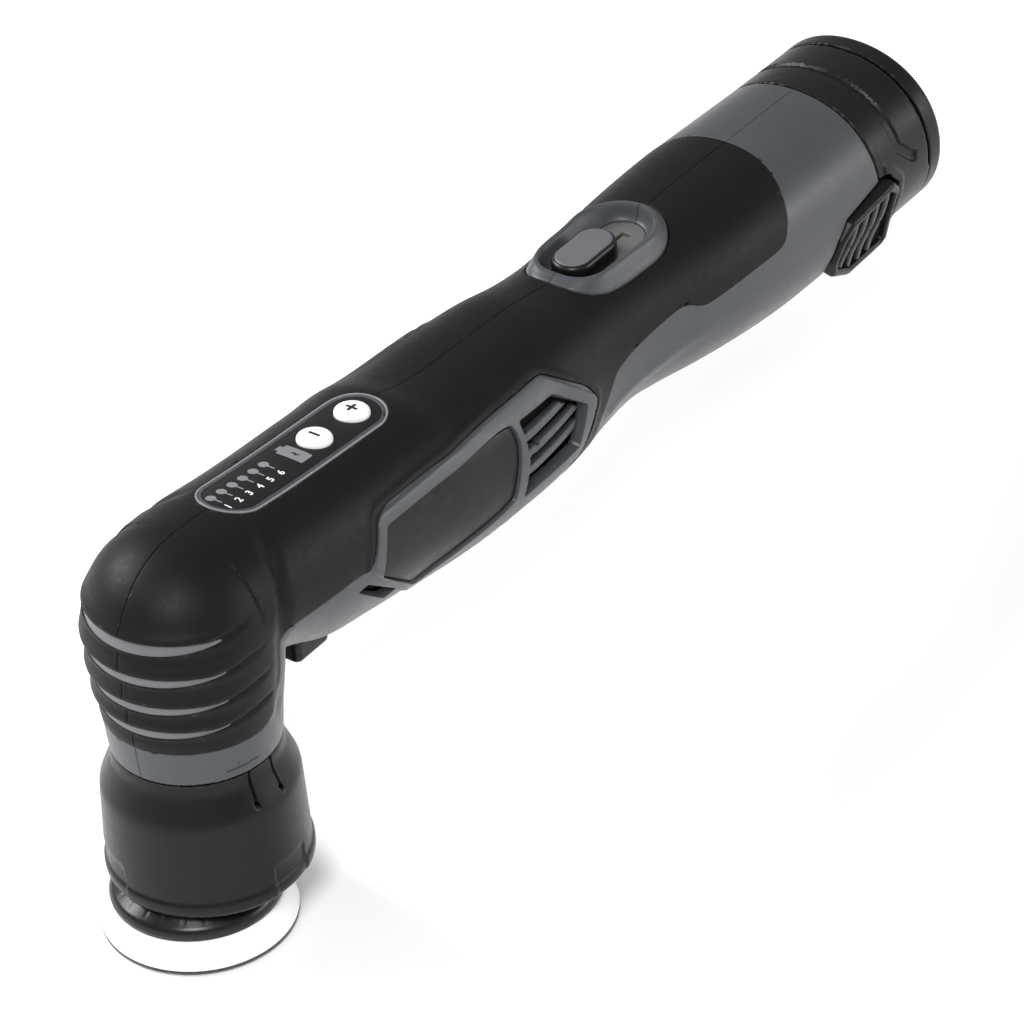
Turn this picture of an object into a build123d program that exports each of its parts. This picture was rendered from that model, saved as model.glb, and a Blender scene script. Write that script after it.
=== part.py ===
from build123d import *
import math
import os

# Cordless dual action polisher, millimetres.
# Frame: +Z up along the spindle, +X from the head along the handle, origin on the
# spindle axis in the plane of the backing plate's working face.

os.makedirs("parts", exist_ok=True)

# ---------------------------------------------------------------- driving dimensions
SKIN = 1.4            # rubber overmould, label plates and panel are this thick
WALL = 3.6            # housing wall including the skin
JOINT_X = 265.0       # rear end of the housing, where the battery pack starts
END_X = 296.0         # rear end of the battery pack
HEAD_Z0 = 52.7        # lower edge of the housing's grey ring
DOME_Z = 88.0         # height at which the head's dome starts
DOME_H = 25.2         # dome height
HEAD_R = 24.8         # widest radius of the head
RING_R = 21.6         # radius at the lower edge of the grey ring

# handle sections: x, top z, bottom z, half width, superellipse exponent
STATIONS = [
    (2, 113.0, 62.5, 24.4, 2.1), (14, 112.2, 61.8, 24.6, 2.15), (30, 110.2, 61.2, 24.8, 2.25),
    (47, 108.5, 60.2, 24.9, 2.3), (60, 107.4, 58.3, 25.0, 2.35), (70, 106.6, 56.9, 25.2, 2.35),
    (80, 105.7, 55.6, 25.6, 2.4), (88, 103.6, 54.9, 25.9, 2.4), (97, 102.2, 54.1, 26.0, 2.4),
    (110, 101.4, 53.2, 25.8, 2.4), (123, 100.7, 52.5, 25.1, 2.4), (136, 99.8, 52.5, 23.7, 2.4),
    (149, 97.8, 53.9, 22.0, 2.35), (162, 96.6, 55.1, 21.6, 2.3), (175, 96.5, 53.6, 22.5, 2.3),
    (190, 96.6, 51.4, 24.6, 2.3), (205, 96.4, 49.6, 26.2, 2.3), (222, 96.3, 47.8, 27.0, 2.3),
    (245, 95.8, 46.4, 27.2, 2.2), (265, 95.2, 45.3, 27.0, 2.15),
]

PAD_X = -6.0          # eccentric offset of the pad axis
PAD_R = 25.0          # backing plate radius at its working face
MOTOR_Z = 81.0        # motor axis height
CAN_R = 17.0          # motor can radius
SHAFT_R = 2.5
SPINDLE_R = 4.0
RUN = 0.04            # radial running clearance in every bearing bore

GEAR_TEETH = 24
PINION_TEETH = 12
MODULE = 1.0

PACK_Z = 71.2         # battery pack axis height
STEM_R = 20.6         # radius of the pack's stem inside the handle
CELL_R = 9.15

PANEL_X = 46.5        # centre of the speed panel
PANEL_L = 65.8
PANEL_W = 18.0
PLUS_X = 70.4
MINUS_X = 55.3
BUTTON_R = 4.7

KNOB_X = 168.5        # rest position of the slide switch knob


# ---------------------------------------------------------------- outline helpers
def superellipse(half_w, half_h, mid_z, power, count=20):
    pts = []
    for k in range(count):
        ang = 2 * math.pi * k / count
        c, s = math.cos(ang), math.sin(ang)
        pts.append((half_w * math.copysign(abs(c) ** (2 / power), c),
                    mid_z + half_h * math.copysign(abs(s) ** (2 / power), s)))
    return pts


def across(x):
    # a plane across the handle: local x is +Y, local y is +Z
    return Plane(origin=(x, 0, 0), x_dir=(0, 1, 0), z_dir=(1, 0, 0))


SIDE = Plane(origin=(0, 0, 0), x_dir=(1, 0, 0), z_dir=(0, -1, 0))   # local x is +X, local y is +Z


def handle_loft(off, stations=STATIONS, extra=None):
    rows = list(stations) + ([extra] if extra else [])
    with BuildPart() as handle:
        for x, top, low, half, power in rows:
            with BuildSketch(across(x)):
                with BuildLine():
                    Spline(*superellipse(half + off, (top - low) / 2 + off, (top + low) / 2, power),
                           periodic=True)
                make_face()
        loft()
    return handle.part


def dome_r(z, off):
    h = DOME_H + off
    t = min(1.0, max(0.0, (z - DOME_Z) / h))
    return (HEAD_R + off) * (1 - t ** 2.15) ** (1 / 2.15)


def head_revolve(off, bottom=HEAD_Z0):
    top = DOME_Z + DOME_H + off
    zs = [DOME_Z + (DOME_H + off) * t for t in (0.0, 0.3, 0.55, 0.75, 0.88, 0.96)]
    with BuildPart() as head:
        with BuildSketch(Plane.XZ):
            with BuildLine():
                Polyline((0, bottom), (RING_R + off, bottom), (RING_R + off, HEAD_Z0 + 0.01),
                         (22.5 + off, 62.8), (HEAD_R + off, DOME_Z))
                Spline(*([(dome_r(z, off), z) for z in zs] + [(0, top)]),
                       tangents=((0, 1), (-1, 0)))
                Line((0, top), (0, bottom))
            make_face()
        revolve(axis=Axis.Z)
    return head.part


def side_prism(points, y0=-60.0, y1=60.0):
    # a prism whose outline is drawn in the side view
    with BuildPart() as prism:
        with BuildSketch(SIDE.offset(-y1)):
            with BuildLine():
                Polyline(*points, close=True)
            make_face()
        extrude(amount=y1 - y0)
    return prism.part


def bar_x(r, x0, x1, z=MOTOR_Z, y=0.0):
    # a round bar along X
    with BuildPart() as bar:
        with BuildSketch(across(x0)):
            with Locations((y, z)):
                Circle(r)
        extrude(amount=x1 - x0)
    return bar.part


def bar_z(r, z0, z1, x=0.0, y=0.0):
    with BuildPart() as bar:
        with BuildSketch(Plane.XY.offset(z0)):
            with Locations((x, y)):
                Circle(r)
        extrude(amount=z1 - z0)
    return bar.part


def bar_y(r, y0, y1, x, z):
    with BuildPart() as bar:
        with BuildSketch(SIDE.offset(-y1)):
            with Locations((x, z)):
                Circle(r)
        extrude(amount=y1 - y0)
    return bar.part


def block(x0, x1, y0, y1, z0, z1):
    with BuildPart() as blk:
        with BuildSketch(Plane.XY.offset(z0)):
            with Locations(((x0 + x1) / 2, (y0 + y1) / 2)):
                Rectangle(x1 - x0, y1 - y0)
        extrude(amount=z1 - z0)
    return blk.part


def slot_prism(x, length, width, z0, z1):
    with BuildPart() as prism:
        with BuildSketch(Plane.XY.offset(z0)):
            with Locations((x, 0)):
                SlotOverall(length, width)
        extrude(amount=z1 - z0)
    return prism.part


def save(part, label):
    part.label = label
    export_step(part, "parts/" + label + ".step")
    print(label, round(part.volume, 1), len(part.solids()))


# ---------------------------------------------------------------- body envelopes
outer = head_revolve(0) + handle_loft(0)
core = head_revolve(-SKIN, 50.0) + handle_loft(-SKIN, extra=(268, 95.1, 45.2, 27.0, 2.15))
cavity = head_revolve(-WALL, 50.0) + handle_loft(-WALL, extra=(268, 95.1, 45.2, 27.0, 2.15))
skin = outer - core

# ---------------------------------------------------------------- side view outlines
GRIP = [(-40, 62.9), (-2, 62.9), (1.6, 63.6), (5.1, 66.6), (8.3, 71.8), (8.8, 77), (9.0, 83),
        (10.9, 86.6), (38.3, 85.4), (42.2, 84.4), (44.6, 86.5), (48.8, 95.3), (53.7, 96.8),
        (121.9, 94.3), (135.5, 83.9), (139.8, 78.2), (138.3, 74.7), (136.1, 69.6), (131.8, 66.0),
        (128.5, 61.0), (127.0, 40), (140.5, 40), (140.5, 62), (142.0, 69.2), (145.8, 72.9),
        (150.4, 78.2), (157.2, 79.9), (170.6, 81.3), (178.9, 82.0), (182.4, 81.2), (185.6, 79.3),
        (188.4, 78.3), (193, 78.3), (206, 78.7), (218.7, 78.7), (222, 79.9), (225, 83.7),
        (227.6, 88), (230.0, 91.5), (231.9, 94.2), (234.2, 98), (234.2, 130), (-40, 130)]
PLATE = [(49.5, 88.5), (51, 92.3), (98.5, 91.3), (103.3, 90.6), (104, 86), (102.8, 80),
         (100, 71), (95, 69.8), (63, 66.8), (47, 80)]
RECT_VENT = [(41.4, 80.9), (54.6, 70.6), (50.4, 69.8), (37.6, 80.7)]
LOUVRES = [(107.8, 121.5, 87.0), (108.0, 128.5, 82.0), (107.2, 131.8, 77.0), (105.8, 131.5, 72.0)]
SLITS = (69.2, 77.1, 85.9, 95.2)

# switch surround outline in plan, one half
EGG = [(152.8, 0), (153.2, 5), (155.5, 9.2), (160, 12), (166, 13.2), (175, 13.8), (183, 13.9),
       (188.5, 12.2), (192.8, 8.8), (195.5, 4.7), (196.5, 0)]


def egg_prism(scale, z0, z1):
    cx = 175.0
    pts = [(cx + (x - cx) * scale, y * scale) for x, y in EGG]
    pts += [(x, -y) for x, y in reversed(pts[1:-1])]
    with BuildPart() as prism:
        with BuildSketch(Plane.XY.offset(z0)):
            with BuildLine():
                Spline(*pts, periodic=True)
            make_face()
        extrude(amount=z1 - z0)
    return prism.part


# latch outline in its own tilted face plane: x along the handle, s down the side
LATCH_TILT = 15.0
LATCH_Y, LATCH_Z = 28.5, 68.0      # a point of the outer face
LATCH = [(249.6, -2.0), (268.4, -5.0), (272.6, -1.0), (271.6, 9.4), (271.8, 16.6), (269.5, 18.4),
         (253.4, 19.3), (244.2, 14.2), (243.4, 8.6), (245.4, 2.5)]
LATCH_POCKET = [(248.9, -2.7), (268.4, -5.9), (285.0, -5.9), (285.0, 20.3), (253.0, 20.3),
                (243.4, 14.8), (242.6, 8.4), (244.7, 2.1)]
LATCH_SEAT = [(240, -6.0), (269.2, -6.0), (273.6, -1.2), (272.6, 9.4), (272.8, 17.2), (270.2, 20.3),
              (240, 20.3)]


def latch_plane(side, depth):
    # side -1 is the right hand (-Y) flank, +1 the left; depth is measured inward
    c, s = math.cos(math.radians(LATCH_TILT)), math.sin(math.radians(LATCH_TILT))
    inward = (0, -side * c, s)
    o = (0, side * LATCH_Y + inward[1] * depth, LATCH_Z + inward[2] * depth)
    return Plane(origin=o, x_dir=(1, 0, 0), z_dir=inward)


def latch_prism(points, side, d0, d1):
    pl = latch_plane(side, d0)
    down = 1 if pl.y_dir.Z < 0 else -1
    with BuildPart() as prism:
        with BuildSketch(pl):
            with BuildLine():
                Polyline(*[(x, s * down) for x, s in points], close=True)
            make_face()
        extrude(amount=d1 - d0)
    return prism.part


# ---------------------------------------------------------------- skins: grips, plates, panel
panel_hole = slot_prism(PANEL_X, PANEL_L, PANEL_W, 90, 125)
panel_field = slot_prism(PANEL_X, PANEL_L - 3.0, PANEL_W - 3.0, 90, 125)
egg = egg_prism(1.0, 84, 110)
egg_gap = egg_prism(1.03, 84, 110)
button_holes = bar_z(BUTTON_R + 0.2, 98, 120, PLUS_X) + bar_z(BUTTON_R + 0.2, 98, 120, MINUS_X)
right_half = block(-60, 330, -80, 0, -10, 140)
left_half = block(-60, 330, 0, 80, -10, 140)

# the five housing screws: x and z of each boss; the screws enter from the left
BOSSES = [(1.0, 104.6), (146.0, 88.5), (146.0, 61.5), (193.5, 88.0), (193.5, 58.0)]
screw_access = [bar_y(3.0, 10.0 if z > 100 else 12.0, 40, x, z) for x, z in BOSSES]

grip_skin = skin & side_prism(GRIP)
grip = grip_skin - [block(-60, -10.5, -60, 60, z - 1.0, z + 1.0) for z in SLITS]
grip = grip - [panel_hole, egg_gap]
grip = grip - screw_access
save((grip & right_half), "grip_right")
save((grip & left_half), "grip_left")

side_plates = skin & side_prism(PLATE)
save((side_plates & right_half), "side_plate_right")
save((side_plates & left_half), "side_plate_left")

panel_skin = skin & panel_hole
save(panel_skin - panel_field, "panel_ring")
save((skin & panel_field) - button_holes, "control_panel")

# ---------------------------------------------------------------- housing shell
# the hollow is the cavity less the ribs that carry the gear case, the motor and the terminal
# block, and less the screw bosses
board_passage = block(20, 100, -10, 10, 99.4, 120)
lock_passage = block(30.0, 45.0, -11, 11, 40, 72)
hollow = cavity - [
    block(40.0, 42.0, -40, 40, 40, 120) - bar_x(13.0, 30, 60) - board_passage - lock_passage,
    block(56.0, 58.5, -40, 40, 40, 120) - bar_x(CAN_R, 50, 62) - board_passage,
    block(94.0, 96.5, -40, 40, 40, 120) - bar_x(CAN_R, 90, 100),
    block(196.0, 198.0, -40, 40, 40, 120) - bar_x(8.0, 190, 210, 76),
]
hollow = hollow - [bar_y(3.4, -40, 40, x, z) for x, z in BOSSES]
shell = outer - hollow
shell = shell - grip_skin
shell = shell - side_plates
openings = [button_holes,
            slot_prism(174.0, 34.0, 13.2, 84, 110),                    # switch opening
            bar_x(STEM_R + 0.3, 210, 270, PACK_Z),                     # battery bay
            side_prism(RECT_VENT),
            block(30.6, 44.4, -8.9, 8.9, 40, 68)]                      # lock button opening
openings += [block(x0, x1, -60, 60, z - 1.6, z + 1.6) for x0, x1, z in LOUVRES]
openings += [bar_y(1.25, -14, 0, x, z) for x, z in BOSSES]
openings += [bar_y(1.5, 0, 40, x, z) for x, z in BOSSES]
openings += screw_access
openings += [latch_prism(LATCH_POCKET, side, -8.0, 6.2) for side in (-1, 1)]
shell = shell - openings
save((shell & right_half), "housing_right")
save((shell & left_half), "housing_left")

with BuildPart() as housing_screws:
    for x, z in BOSSES:
        seat = 10.0 if z > 100 else 12.0
        with BuildSketch(SIDE.offset(12.0)):
            with Locations((x, z)):
                Circle(1.25)
        extrude(amount=-(12.0 + seat))
        with BuildSketch(SIDE.offset(-seat)):
            with Locations((x, z)):
                Circle(2.8)
        extrude(amount=-2.2)
save(housing_screws.part, "housing_screws")

# ---------------------------------------------------------------- slide switch
lip = (handle_loft(2.2) - core) & egg
dish = egg_prism(0.79, 84, 110)
bezel = lip - dish
floor_ring = ((handle_loft(-0.4) - core) & egg_prism(0.81, 84, 110)) - slot_prism(174.0, 34.0, 13.2, 84, 110)
bezel = bezel + floor_ring
save(bezel, "switch_bezel")

with BuildPart() as switch_track:
    with BuildSketch(Plane.XY.offset(92.4)):
        with Locations((174.0, 0)):
            SlotOverall(33.6, 12.8)
        with Locations((176.0, 0)):
            SlotOverall(21.5, 3.0, mode=Mode.SUBTRACT)
    extrude(amount=1.4)
save(switch_track.part, "switch_track")

with BuildPart() as switch_knob:
    with BuildSketch(Plane.XY.offset(94.1)):
        with Locations((KNOB_X, 0)):
            SlotOverall(21.0, 11.8)
    extrude(amount=5.4)
    fillet(switch_knob.faces().sort_by(Axis.Z)[-1].edges(), 1.0)
    with BuildSketch(Plane.XY.offset(88.9)):
        with Locations((KNOB_X, 0)):
            Rectangle(4.5, 2.4)
    extrude(amount=5.4)
save(switch_knob.part, "switch_knob")

with BuildPart() as slide_switch_body:
    with BuildSketch(Plane.XY.offset(80.0)):
        with Locations((174.0, 0)):
            Rectangle(26, 10)
    extrude(amount=8.4)
    with BuildSketch(Plane.XY.offset(86.0)):
        with Locations((174.0, 0)):
            Rectangle(20, 3)
    extrude(amount=3.0, mode=Mode.SUBTRACT)
    for dx in (-8, 0, 8):
        with BuildSketch(Plane.XY.offset(76.0)):
            with Locations((174.0 + dx, 0)):
                Rectangle(0.8, 3)
        extrude(amount=4.0)
save(slide_switch_body.part, "slide_switch_body")


# ---------------------------------------------------------------- speed buttons and board
def domed_button(x, top, low):
    with BuildPart() as button:
        with BuildSketch(Plane.XY.offset(low)):
            with Locations((x, 0)):
                Circle(BUTTON_R)
        extrude(amount=top - 0.55 - low)
        with BuildSketch(Plane.XY.offset(top - 0.55)):
            with Locations((x, 0)):
                Circle(BUTTON_R)
        extrude(amount=0.55, taper=62)
    return button.part


save(domed_button(PLUS_X, 107.9, 103.4), "plus_button")
save(domed_button(MINUS_X, 109.0, 103.4), "minus_button")

with BuildPart() as control_board:
    with BuildSketch(Plane.XY.offset(99.8)):
        with Locations((50.0, 0)):
            Rectangle(58, 16)
    extrude(amount=1.4)
save(control_board.part, "control_board")

with BuildPart() as button_switches:
    for x in (PLUS_X, MINUS_X):
        with BuildSketch(Plane.XY.offset(101.2)):
            with Locations((x, 0)):
                Rectangle(6, 6)
        extrude(amount=1.1)
        with BuildSketch(Plane.XY.offset(102.3)):
            with Locations((x, 0)):
                Circle(1.6)
        extrude(amount=0.4)
save(button_switches.part, "button_switches")

with BuildPart() as indicator_lamps:
    with BuildSketch(Plane.XY.offset(101.2)):
        with Locations(*[(22.5 + 4.2 * k, 2.0) for k in range(6)] + [(47.5, 0)]):
            Rectangle(2, 1.6)
    extrude(amount=0.9)
save(indicator_lamps.part, "indicator_lamps")

# ---------------------------------------------------------------- lock button
with BuildPart() as lock_button:
    with BuildSketch(Plane.XY.offset(56.2)):
        with Locations((37.5, 0)):
            RectangleRounded(13.2, 17.2, 2.0)
    extrude(amount=7.0)
    fillet(lock_button.faces().sort_by(Axis.Z)[0].edges(), 1.4)
    for s in (-1, 1):
        with BuildSketch(Plane.XY.offset(63.0)):
            with Locations((37.5, s * 8.1)):
                Rectangle(9.0, 1.0)
        extrude(amount=4.6)
        with BuildSketch(Plane.XY.offset(66.9)):
            with Locations((37.5, s * 8.75)):
                Rectangle(9.0, 2.3)
        extrude(amount=0.7)
    with BuildSketch(Plane.XY.offset(63.2)):
        with Locations((37.5, 0)):
            Circle(1.2)
    extrude(amount=8.0)
save(lock_button.part, "lock_button")

with BuildPart() as lock_spring:
    for k in range(3):
        with BuildSketch(Plane(origin=(37.5, 0, 63.5 + 0.3 + k * 1.55), x_dir=(1, 0, 0), z_dir=(0, -1, 0))):
            with Locations((2.4, 0)):
                Circle(0.3)
        revolve(axis=Axis((37.5, 0, 0), (0, 0, 1)))
save(lock_spring.part, "lock_spring")

# ---------------------------------------------------------------- gear case
with BuildPart() as gear_case:
    with BuildSketch(Plane.XY.offset(62.0)):
        Circle(17.0)
    extrude(amount=36.0)
    fillet(gear_case.faces().sort_by(Axis.Z)[-1].edges(), 3.0)
    with BuildSketch(across(0)):
        with Locations((0, MOTOR_Z)):
            Circle(13.0)
    extrude(amount=44.0)
    with BuildSketch(across(42.2)):
        with Locations((0, MOTOR_Z)):
            Circle(15.0)
    extrude(amount=3.6)
    with BuildSketch(Plane.XY.offset(62.0)):
        Circle(13.4)
    extrude(amount=26.0, mode=Mode.SUBTRACT)
    with BuildSketch(Plane.XY.offset(88.0)):
        Circle(9.5)
    extrude(amount=6.0, mode=Mode.SUBTRACT)
    with BuildSketch(Plane.XY.offset(94.0)):
        Circle(6.0)
    extrude(amount=1.5, mode=Mode.SUBTRACT)
    with BuildSketch(across(0)):
        with Locations((0, MOTOR_Z)):
            Circle(8.5)
    extrude(amount=22.0, mode=Mode.SUBTRACT)
    with BuildSketch(across(22)):
        with Locations((0, MOTOR_Z)):
            Circle(6.5)
    extrude(amount=5.0, mode=Mode.SUBTRACT)
    with BuildSketch(across(27)):
        with Locations((0, MOTOR_Z)):
            Circle(4.5)
    extrude(amount=2.0, mode=Mode.SUBTRACT)
    with BuildSketch(across(29)):
        with Locations((0, MOTOR_Z)):
            Circle(11.0)
    extrude(amount=20.0, mode=Mode.SUBTRACT)
    with BuildSketch(Plane.XY.offset(60.0)):
        with Locations((37.5, 0)):
            Circle(1.6)
    extrude(amount=12.0, mode=Mode.SUBTRACT)
    with BuildSketch(Plane.XY.offset(62.0)):
        with PolarLocations(15.2, 3, 60):
            Circle(0.9)
    extrude(amount=8.0, mode=Mode.SUBTRACT)
save(gear_case.part, "gear_case")

with BuildPart() as gear_case_cover:
    with BuildSketch(Plane.XY.offset(54.0)):
        Circle(17.0)
    extrude(amount=8.0)
    with BuildSketch(Plane.XY.offset(62.0)):
        Circle(13.4)
    extrude(amount=3.0)
    with BuildSketch(Plane.XY.offset(45.0)):
        Circle(14.0)
    extrude(amount=9.0)
    with BuildSketch(Plane.XY.offset(45.0)):
        Circle(8.5)
    extrude(amount=20.0, mode=Mode.SUBTRACT)
    with BuildSketch(Plane.XY.offset(58.0)):
        Circle(11.0)
    extrude(amount=7.0, mode=Mode.SUBTRACT)
    with BuildSketch(Plane.XY.offset(54.0)):
        with PolarLocations(15.2, 3, 60):
            Circle(1.1)
    extrude(amount=8.0, mode=Mode.SUBTRACT)
    with BuildSketch(Plane.XY.offset(54.0)):
        with PolarLocations(15.2, 3, 60):
            Circle(1.75)
    extrude(amount=2.0, mode=Mode.SUBTRACT)
save(gear_case_cover.part, "gear_case_cover")

with BuildPart() as gear_case_screws:
    with BuildSketch(Plane.XY.offset(54.2)):
        with PolarLocations(15.2, 3, 60):
            Circle(1.7)
    extrude(amount=1.8)
    with BuildSketch(Plane.XY.offset(56.0)):
        with PolarLocations(15.2, 3, 60):
            Circle(0.9)
    extrude(amount=13.0)
save(gear_case_screws.part, "gear_case_screws")


def bearing_z(r_in, r_out, z0, z1, x=0.0):
    # a sealed ball bearing, its two faces dished between the rings
    mid = (r_in + r_out) / 2
    with BuildPart() as ring:
        with BuildSketch(Plane(origin=(x, 0, 0), x_dir=(1, 0, 0), z_dir=(0, -1, 0))):
            with BuildLine():
                Polyline((r_in, z0), (mid - 1.2, z0), (mid - 1.0, z0 + 0.4), (mid + 1.0, z0 + 0.4),
                         (mid + 1.2, z0), (r_out, z0), (r_out, z1), (mid + 1.2, z1),
                         (mid + 1.0, z1 - 0.4), (mid - 1.0, z1 - 0.4), (mid - 1.2, z1), (r_in, z1),
                         close=True)
            make_face()
        revolve(axis=Axis((x, 0, 0), (0, 0, 1)))
    return ring.part


def bearing_x(r_in, r_out, x0, x1):
    mid = (r_in + r_out) / 2
    with BuildPart() as ring:
        with BuildSketch(SIDE):
            with BuildLine():
                Polyline(*[(u, MOTOR_Z + v) for u, v in (
                    (x0, r_in), (x0, mid - 0.9), (x0 + 0.4, mid - 0.7), (x0 + 0.4, mid + 0.7),
                    (x0, mid + 0.9), (x0, r_out), (x1, r_out), (x1, mid + 0.9),
                    (x1 - 0.4, mid + 0.7), (x1 - 0.4, mid - 0.7), (x1, mid - 0.9), (x1, r_in))],
                    close=True)
            make_face()
        revolve(axis=Axis((0, 0, MOTOR_Z), (1, 0, 0)))
    return ring.part


save(bearing_z(3.5 + RUN, 9.5, 88.0, 94.0), "spindle_upper_bearing")
save(bearing_z(SPINDLE_R + RUN, 11.0, 58.0, 65.0), "spindle_lower_bearing")
save(bearing_x(SHAFT_R + RUN, 6.5, 22.0, 27.0), "pinion_bearing")
save(bearing_x(SHAFT_R + RUN, 6.5, 47.2, 51.7), "motor_front_bearing")
save(bearing_x(SHAFT_R + RUN, 6.5, 100.0, 104.5), "motor_rear_bearing")

# ---------------------------------------------------------------- motor
with BuildPart() as motor_can:
    with BuildSketch(across(46.0)):
        with Locations((0, MOTOR_Z)):
            Circle(CAN_R)
    extrude(amount=54.0)
    with BuildSketch(across(48.0)):
        with Locations((0, MOTOR_Z)):
            Circle(16.0)
    extrude(amount=52.0, mode=Mode.SUBTRACT)
    with BuildSketch(across(47.0)):
        with Locations((0, MOTOR_Z)):
            Circle(8.2)
    extrude(amount=4.7)
    with BuildSketch(across(47.2)):
        with Locations((0, MOTOR_Z)):
            Circle(6.5)
    extrude(amount=4.6, mode=Mode.SUBTRACT)
    with BuildSketch(across(46.0)):
        with Locations((0, MOTOR_Z)):
            Circle(4.2)
    extrude(amount=2.0, mode=Mode.SUBTRACT)
save(motor_can.part, "motor_can")

with BuildPart() as motor_magnets:
    with BuildSketch(across(56.0)):
        with Locations((0, MOTOR_Z)):
            Circle(16.0)
            Circle(12.9, mode=Mode.SUBTRACT)
        with Locations((0, MOTOR_Z)):
            Rectangle(10, 40, mode=Mode.SUBTRACT)
    extrude(amount=36.0)
save(motor_magnets.part, "motor_magnets")

with BuildPart() as motor_end_bell:
    with BuildSketch(across(100.0)):
        with Locations((0, MOTOR_Z)):
            Circle(CAN_R - 0.4)
    extrude(amount=3.5)
    with BuildSketch(across(103.5)):
        with Locations((0, MOTOR_Z)):
            Circle(8.4)
    extrude(amount=2.0)
    with BuildSketch(across(100.0)):
        with Locations((0, MOTOR_Z)):
            Circle(6.5)
    extrude(amount=4.5, mode=Mode.SUBTRACT)
    with BuildSketch(across(104.5)):
        with Locations((0, MOTOR_Z)):
            Circle(4.2)
    extrude(amount=1.0, mode=Mode.SUBTRACT)
save(motor_end_bell.part, "motor_end_bell")

with BuildPart() as motor_brushes:
    for s in (-1, 1):
        with BuildSketch(across(94.5)):
            with Locations((s * 9.3, MOTOR_Z)):
                Rectangle(8.0, 3.0)
        extrude(amount=4.0)
save(motor_brushes.part, "motor_brushes")

with BuildPart() as motor_shaft:
    with BuildSketch(across(9.0)):
        with Locations((0, MOTOR_Z)):
            Circle(SHAFT_R)
    extrude(amount=109.0)
    chamfer(motor_shaft.edges().filter_by(GeomType.CIRCLE), 0.3)
save(motor_shaft.part, "motor_shaft")

with BuildPart() as rotor_core:
    with BuildSketch(across(58.0)):
        with Locations((0, MOTOR_Z)):
            Circle(12.3)
            Circle(SHAFT_R, mode=Mode.SUBTRACT)
        for k in range(5):
            a = math.radians(72 * k)
            with Locations(Location((11.0 * math.cos(a), MOTOR_Z + 11.0 * math.sin(a), 0), (0, 0, 72 * k))):
                Rectangle(8.0, 2.0, mode=Mode.SUBTRACT)
    extrude(amount=31.0)
save(rotor_core.part, "rotor_core")

with BuildPart() as rotor_windings:
    for x0, x1 in ((53.6, 58.0), (89.0, 92.0)):
        with BuildSketch(across(x0)):
            with Locations((0, MOTOR_Z)):
                Circle(10.6)
                Circle(SHAFT_R, mode=Mode.SUBTRACT)
        extrude(amount=x1 - x0)
save(rotor_windings.part, "rotor_windings")

with BuildPart() as commutator:
    with BuildSketch(across(92.0)):
        with Locations((0, MOTOR_Z)):
            Circle(5.2)
            Circle(SHAFT_R, mode=Mode.SUBTRACT)
    extrude(amount=7.0)
save(commutator.part, "commutator")

with BuildPart() as cooling_fan:
    with BuildSketch(across(108.0)):
        with Locations((0, MOTOR_Z)):
            Circle(16.0)
            Circle(SHAFT_R, mode=Mode.SUBTRACT)
    extrude(amount=1.2)
    with BuildSketch(across(109.2)):
        with Locations((0, MOTOR_Z)):
            Circle(5.0)
            Circle(SHAFT_R, mode=Mode.SUBTRACT)
        for k in range(9):
            a = math.radians(40 * k)
            with Locations(Location((10.0 * math.cos(a), MOTOR_Z + 10.0 * math.sin(a), 0), (0, 0, 40 * k + 12))):
                Rectangle(11.5, 1.1)
    extrude(amount=7.0)
save(cooling_fan.part, "cooling_fan")

with BuildPart() as lock_collar:
    with BuildSketch(across(33.5)):
        with Locations((0, MOTOR_Z)):
            Circle(7.0)
            Circle(SHAFT_R, mode=Mode.SUBTRACT)
    extrude(amount=8.0)
    with BuildSketch(Plane.XY.offset(70.0)):
        with Locations((37.5, 0)):
            Circle(1.6)
    extrude(amount=7.0, mode=Mode.SUBTRACT)
save(lock_collar.part, "lock_collar")

# ---------------------------------------------------------------- bevel pair
# pitch cones meet at the crossing of the two axes, (0, 0, MOTOR_Z)
R_GEAR = MODULE * GEAR_TEETH / 2
R_PIN = MODULE * PINION_TEETH / 2
CONE = math.hypot(R_GEAR, R_PIN)
FACE = 5.0
INNER = (CONE - FACE) / CONE
GEAR_ANG = math.degrees(math.atan2(R_GEAR, R_PIN))
PIN_ANG = 90 - GEAR_ANG
ROOT, TIP = 0.85 * MODULE, 0.60 * MODULE
HALF_TOOTH = 0.27 * MODULE * math.pi / 2


def tooth(pitch_r, half_angle, apex_dir):
    # one straight bevel tooth for a gear whose axis is local Z and whose apex is the origin,
    # the gear lying on the -Z side; it is lofted from the outer end to the inner end
    ang = math.radians(half_angle)
    along = Vector(math.sin(ang), 0, -math.cos(ang))      # down the pitch cone, outward
    normal = Vector(math.cos(ang), 0, math.sin(ang))      # away from the cone's axis
    with BuildPart() as one:
        for frac in (1.0, INNER):
            o = along * (CONE * frac)
            with BuildSketch(Plane(origin=o, x_dir=(0, 1, 0), z_dir=along)):
                sign = 1 if Plane(origin=o, x_dir=(0, 1, 0), z_dir=along).y_dir.dot(normal) > 0 else -1
                with BuildLine():
                    w, top = HALF_TOOTH * frac, TIP * frac
                    low = -(ROOT + 0.5) * frac
                    Polyline((-w * 1.35, sign * low), (w * 1.35, sign * low), (w * 0.62, sign * top),
                             (-w * 0.62, sign * top), close=True)
                make_face()
        loft()
    return one.part


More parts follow.
